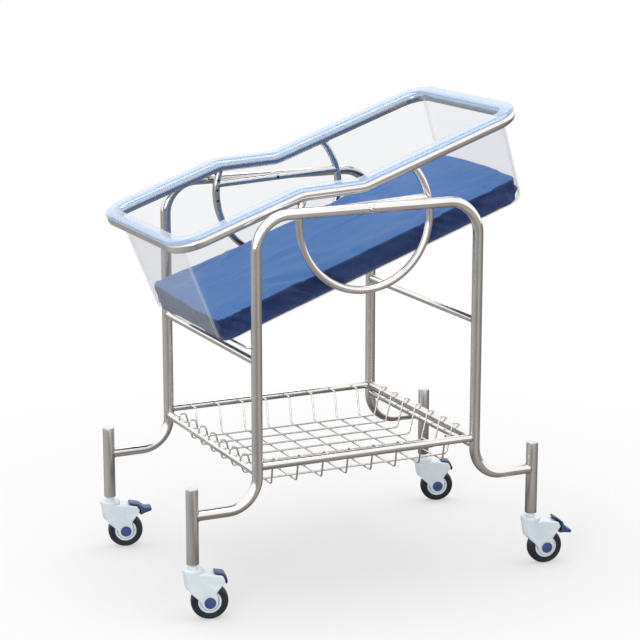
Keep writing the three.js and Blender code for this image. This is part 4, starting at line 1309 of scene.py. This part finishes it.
TIRE = both_sides(
    [
        (37.5, 4.6, 5), (35.6, 9.8, 4), (31.2, 11.4, 0.6), (30.4, 10.4, 0.4), (29.4, 10.4, 0.4),
        (28.8, 11.2, 0.4), (22.8, 10.6, 0),
    ],
    15,
)
HUB = both_sides(
    [
        (23.3, 10.4, 0.3), (22.9, 11.3, 0.8), (19.2, 10.8, 0.8), (17.6, 8.2, 0.8), (10.4, 8.6, 0.6),
        (9.6, 11.2, 0.6), (4.6, 11.2, 0),
    ],
    20,
)
AXLE = both_sides(
    [
        (4.2, 18.2, 0), (11.6, 18.2, 0.3), (11.7, 19.6, 0.8), (10.6, 20.6, 0.6), (9.1, 20.6, 0.3),
        (8.7, 19.7, 0.2), (7.9, 19.7, 0.2), (7.3, 20.5, 0.5), (3.0, 20.9, 3), (0, 20.9, 0),
    ],
    20,
)
STEM = fillet(
    [
        (0, 104.2, 0), (9.0, 104.2, 0.2), (9.0, 106.2, 0.4), (7.6, 106.6, 0.2), (7.6, 107.8, 0.2),
        (8.9, 108.2, 0.4), (8.9, 112.0, 0.5), (7.4, 112.6, 0.2), (7.0, 113.6, 0), (0, 113.6, 0),
    ],
    step=20,
)
PEDAL = fillet(
    [
        (39.5, 96.6, 0.8), (57.6, 93.3, 5), (65.3, 80.6, 4), (62.6, 74.4, 1), (65.4, 71.4, 1.5),
        (74.0, 75.6, 8), (88.6, 80.2, 2.5), (89.8, 85.6, 2.5), (85.0, 87.2, 3), (74.0, 86.4, 14),
        (61.2, 96.4, 5), (41.0, 99.9, 1.6),
    ],
    closed=True,
    step=10,
)
TAIL = fillet(
    [
        (40.5, 96.2, 0.8), (57.6, 93.2, 5), (64.9, 80.6, 3), (63.2, 75.6, 0.8), (65.8, 74.0, 1.2),
        (68.3, 80.4, 4), (60.6, 95.6, 6), (41.5, 98.9, 1.4),
    ],
    closed=True,
    step=10,
)


def casters():
    """Two casters have a brake pedal, the near head one pressed, and two a fixed tail cover."""
    width = 14
    fork = fork_mesh()
    for name in CASTERS:
        place = caster_place(name)
        shown = add_object(f"caster_fork_{name}_look", fork.data.copy())
        shown.data.transform(place)
        dress(shown, "caster_shell", f"caster_fork_{name}")
        for part, outline, sides, material, slot in (
            ("tire", TIRE + TIRE[:1], 72, RUBBER, "tire"),
            ("hub", HUB + HUB[:1], 56, SHELL, "caster_shell"),
            ("axle", AXLE, 48, CAP, "cap"),
        ):
            shape = Shape().turned(outline, sides, "Y", WHEEL)
            piece(f"caster_{part}_{name}", shape, [material], place, slot, 30)
        piece(f"caster_stem_{name}", Shape().turned(STEM, 36), [PLUG], place, "steel", 30)
        if name in ("near_foot", "far_head"):
            shape = Shape().prism(TAIL, -width, width, 1.1, 3)
            piece(f"caster_tail_{name}", shape, [BRAKE], place, "brake", 30)
            continue
        if name == "near_head":
            turn = Matrix.Rotation(PRESSED, 4, "Y")
            place = place @ Matrix.Translation(PEDAL_HINGE) @ turn @ Matrix.Translation(-PEDAL_HINGE)
        shape = Shape().prism(PEDAL, -width, width, 1.2, 3)
        piece(f"brake_pedal_{name}", shape, [BRAKE], place, "brake", 30)
    bpy.data.objects.remove(fork)


# Camera, floor and light


def camera():
    """The photograph's view: a long lens, from the near foot corner and a little above the crib."""
    back = Vector((-0.4161, -0.8819, 0.2210)).normalized()
    right = Vector((0.9045, -0.4266, 0)).normalized()
    up = back.cross(right)
    middle = Vector((0, 0, 480))
    distance, right_shift, up_shift = 4323.4, 5.14, 38.95
    data = bpy.data.cameras.new("camera")
    data.sensor_width = 36
    data.lens = 115.12
    data.clip_end = 60
    made = add_object("camera", data)
    spot = ORIGIN + (middle + back * distance + right * right_shift + up * up_shift) * MM
    made.matrix_world = Matrix.Translation(spot) @ Matrix((right, up, back)).transposed().to_4x4()
    bpy.context.scene.camera = made


def grey(level):
    """The same level of red, green and blue."""
    return (level, level, level)


def floor():
    """A pale floor: white to the eye and through plastic, keeping the crib's shadow.

    Polished steel mirrors a painted reflection instead: a glow that is lighter and darker from side to side,
    as of a room, and dimmer near the crib as painted shadow.
    """
    half = 30
    paint = Paint("floor")
    paint.set(Base_Color=(*grey(0.88), 1), Roughness=0.9, Specular_IOR_Level=0.0)
    path = paint.node("LightPath").outputs
    place = paint.node("TexCoord").outputs["Object"]
    far = paint.node("VectorMath", {0: place}, operation="LENGTH").outputs["Value"]
    split = paint.node("SeparateXYZ", {0: place}).outputs
    bearing = paint.maths("ARCTAN2", split["Y"], split["X"])
    # painted reflection: for glossy rays the floor glows in sectors, lighter and darker by bearing
    painted_room_sectors = paint.ramp(
        paint.span(bearing, 0.0, 1.0, -math.pi, math.pi),
        (0.0, (0.50, 0.49, 0.475)), (0.063, (0.46, 0.45, 0.435)), (0.180, (0.30, 0.28, 0.265)),
        (0.285, (0.52, 0.50, 0.49)), (0.366, (0.40, 0.375, 0.355)), (0.450, (0.26, 0.225, 0.20)),
        (0.535, (0.22, 0.185, 0.165)), (0.680, (0.27, 0.28, 0.29)), (0.824, (0.40, 0.40, 0.39)),
        (0.932, (0.56, 0.55, 0.54)), (1.0, (0.50, 0.49, 0.475)),
    )
    # painted shadow in the reflection: the glow is dimmer near the crib
    painted_reflection = paint.node("Emission", {"Color": painted_room_sectors, "Strength": paint.span(far, 0.55, 1.0, 0.2, 0.8)})
    dull = paint.node("Emission", {"Color": (0.50, 0.495, 0.49, 1), "Strength": 0.9})
    unseen = paint.mix(path["Is Glossy Ray"], dull, painted_reflection)
    glow = paint.node("Emission", {"Color": (*grey(1), 1), "Strength": 1.0})
    shown = paint.mix(paint.span(far, 0.45, 1.0, 0.55, 1.5), paint.shader, glow)
    seen = paint.maths("MAXIMUM", path["Is Camera Ray"], path["Is Transmission Ray"])
    paint.finish(paint.mix(seen, unseen, shown))
    data = bpy.data.meshes.new("floor")
    corners = [(x * half, y * half, 0) for x, y in ((-1, -1), (1, -1), (1, 1), (-1, 1))]
    data.from_pydata(corners, [], [(0, 1, 2, 3)])
    data.materials.append(paint.material)
    made = add_object("floor", data)
    made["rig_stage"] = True


def studio():
    """The world: white to the eye, brighter in gloss, and a soft grey room as light."""
    world = bpy.data.worlds.new("studio")
    bpy.context.scene.world = world
    nodes = Nodes(world)
    path = nodes.node("LightPath").outputs
    height = nodes.node("SeparateXYZ", {0: nodes.node("TexCoord").outputs["Generated"]}).outputs["Z"]
    tone = nodes.ramp(
        nodes.span(height, 0.0, 1.0, -1.0, 1.0),
        (0.0, grey(0.50)), (0.48, grey(0.62)), (0.62, grey(0.70)), (0.85, grey(0.80)),
    )
    room = nodes.node("Background", {"Color": tone, "Strength": 1.0})
    bright = nodes.node("Background", {"Color": (*grey(1), 1), "Strength": 1.35})
    white = nodes.node("Background", {"Color": (*grey(1), 1), "Strength": 1.0})
    seen = nodes.maths("MAXIMUM", path["Is Camera Ray"], path["Is Transmission Ray"])
    lit = nodes.mix(seen, nodes.mix(path["Is Glossy Ray"], room, bright), white)
    nodes.node("OutputWorld", {"Surface": lit.outputs[0]})


def area(name, spot, target, size, power):
    """A soft lamp that faces its target."""
    data = bpy.data.lights.new(name, "AREA")
    data.shape = "RECTANGLE"
    data.size, data.size_y = size
    data.energy = power
    made = add_object(name, data)
    made.location = spot
    made.rotation_euler = (Vector(target) - Vector(spot)).to_track_quat("-Z", "Y").to_euler()


camera()
floor()
studio()
area("overhead", (0.1, 0.3, 3.2), (0, 0, 0.5), (2.4, 1.8), 30)
area("front", (-2.6, -2.6, 1.5), (0, 0, 0.4), (1.2, 1.6), 34)
side_frames()
crossbars()
basket_wires()
trolley_welds()
posts()
pivots()
tilt_lock()
rim_tube()
hoops()
basin()
mattress()
casters()

bpy.context.scene.view_settings.view_transform = "Standard"

low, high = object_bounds()
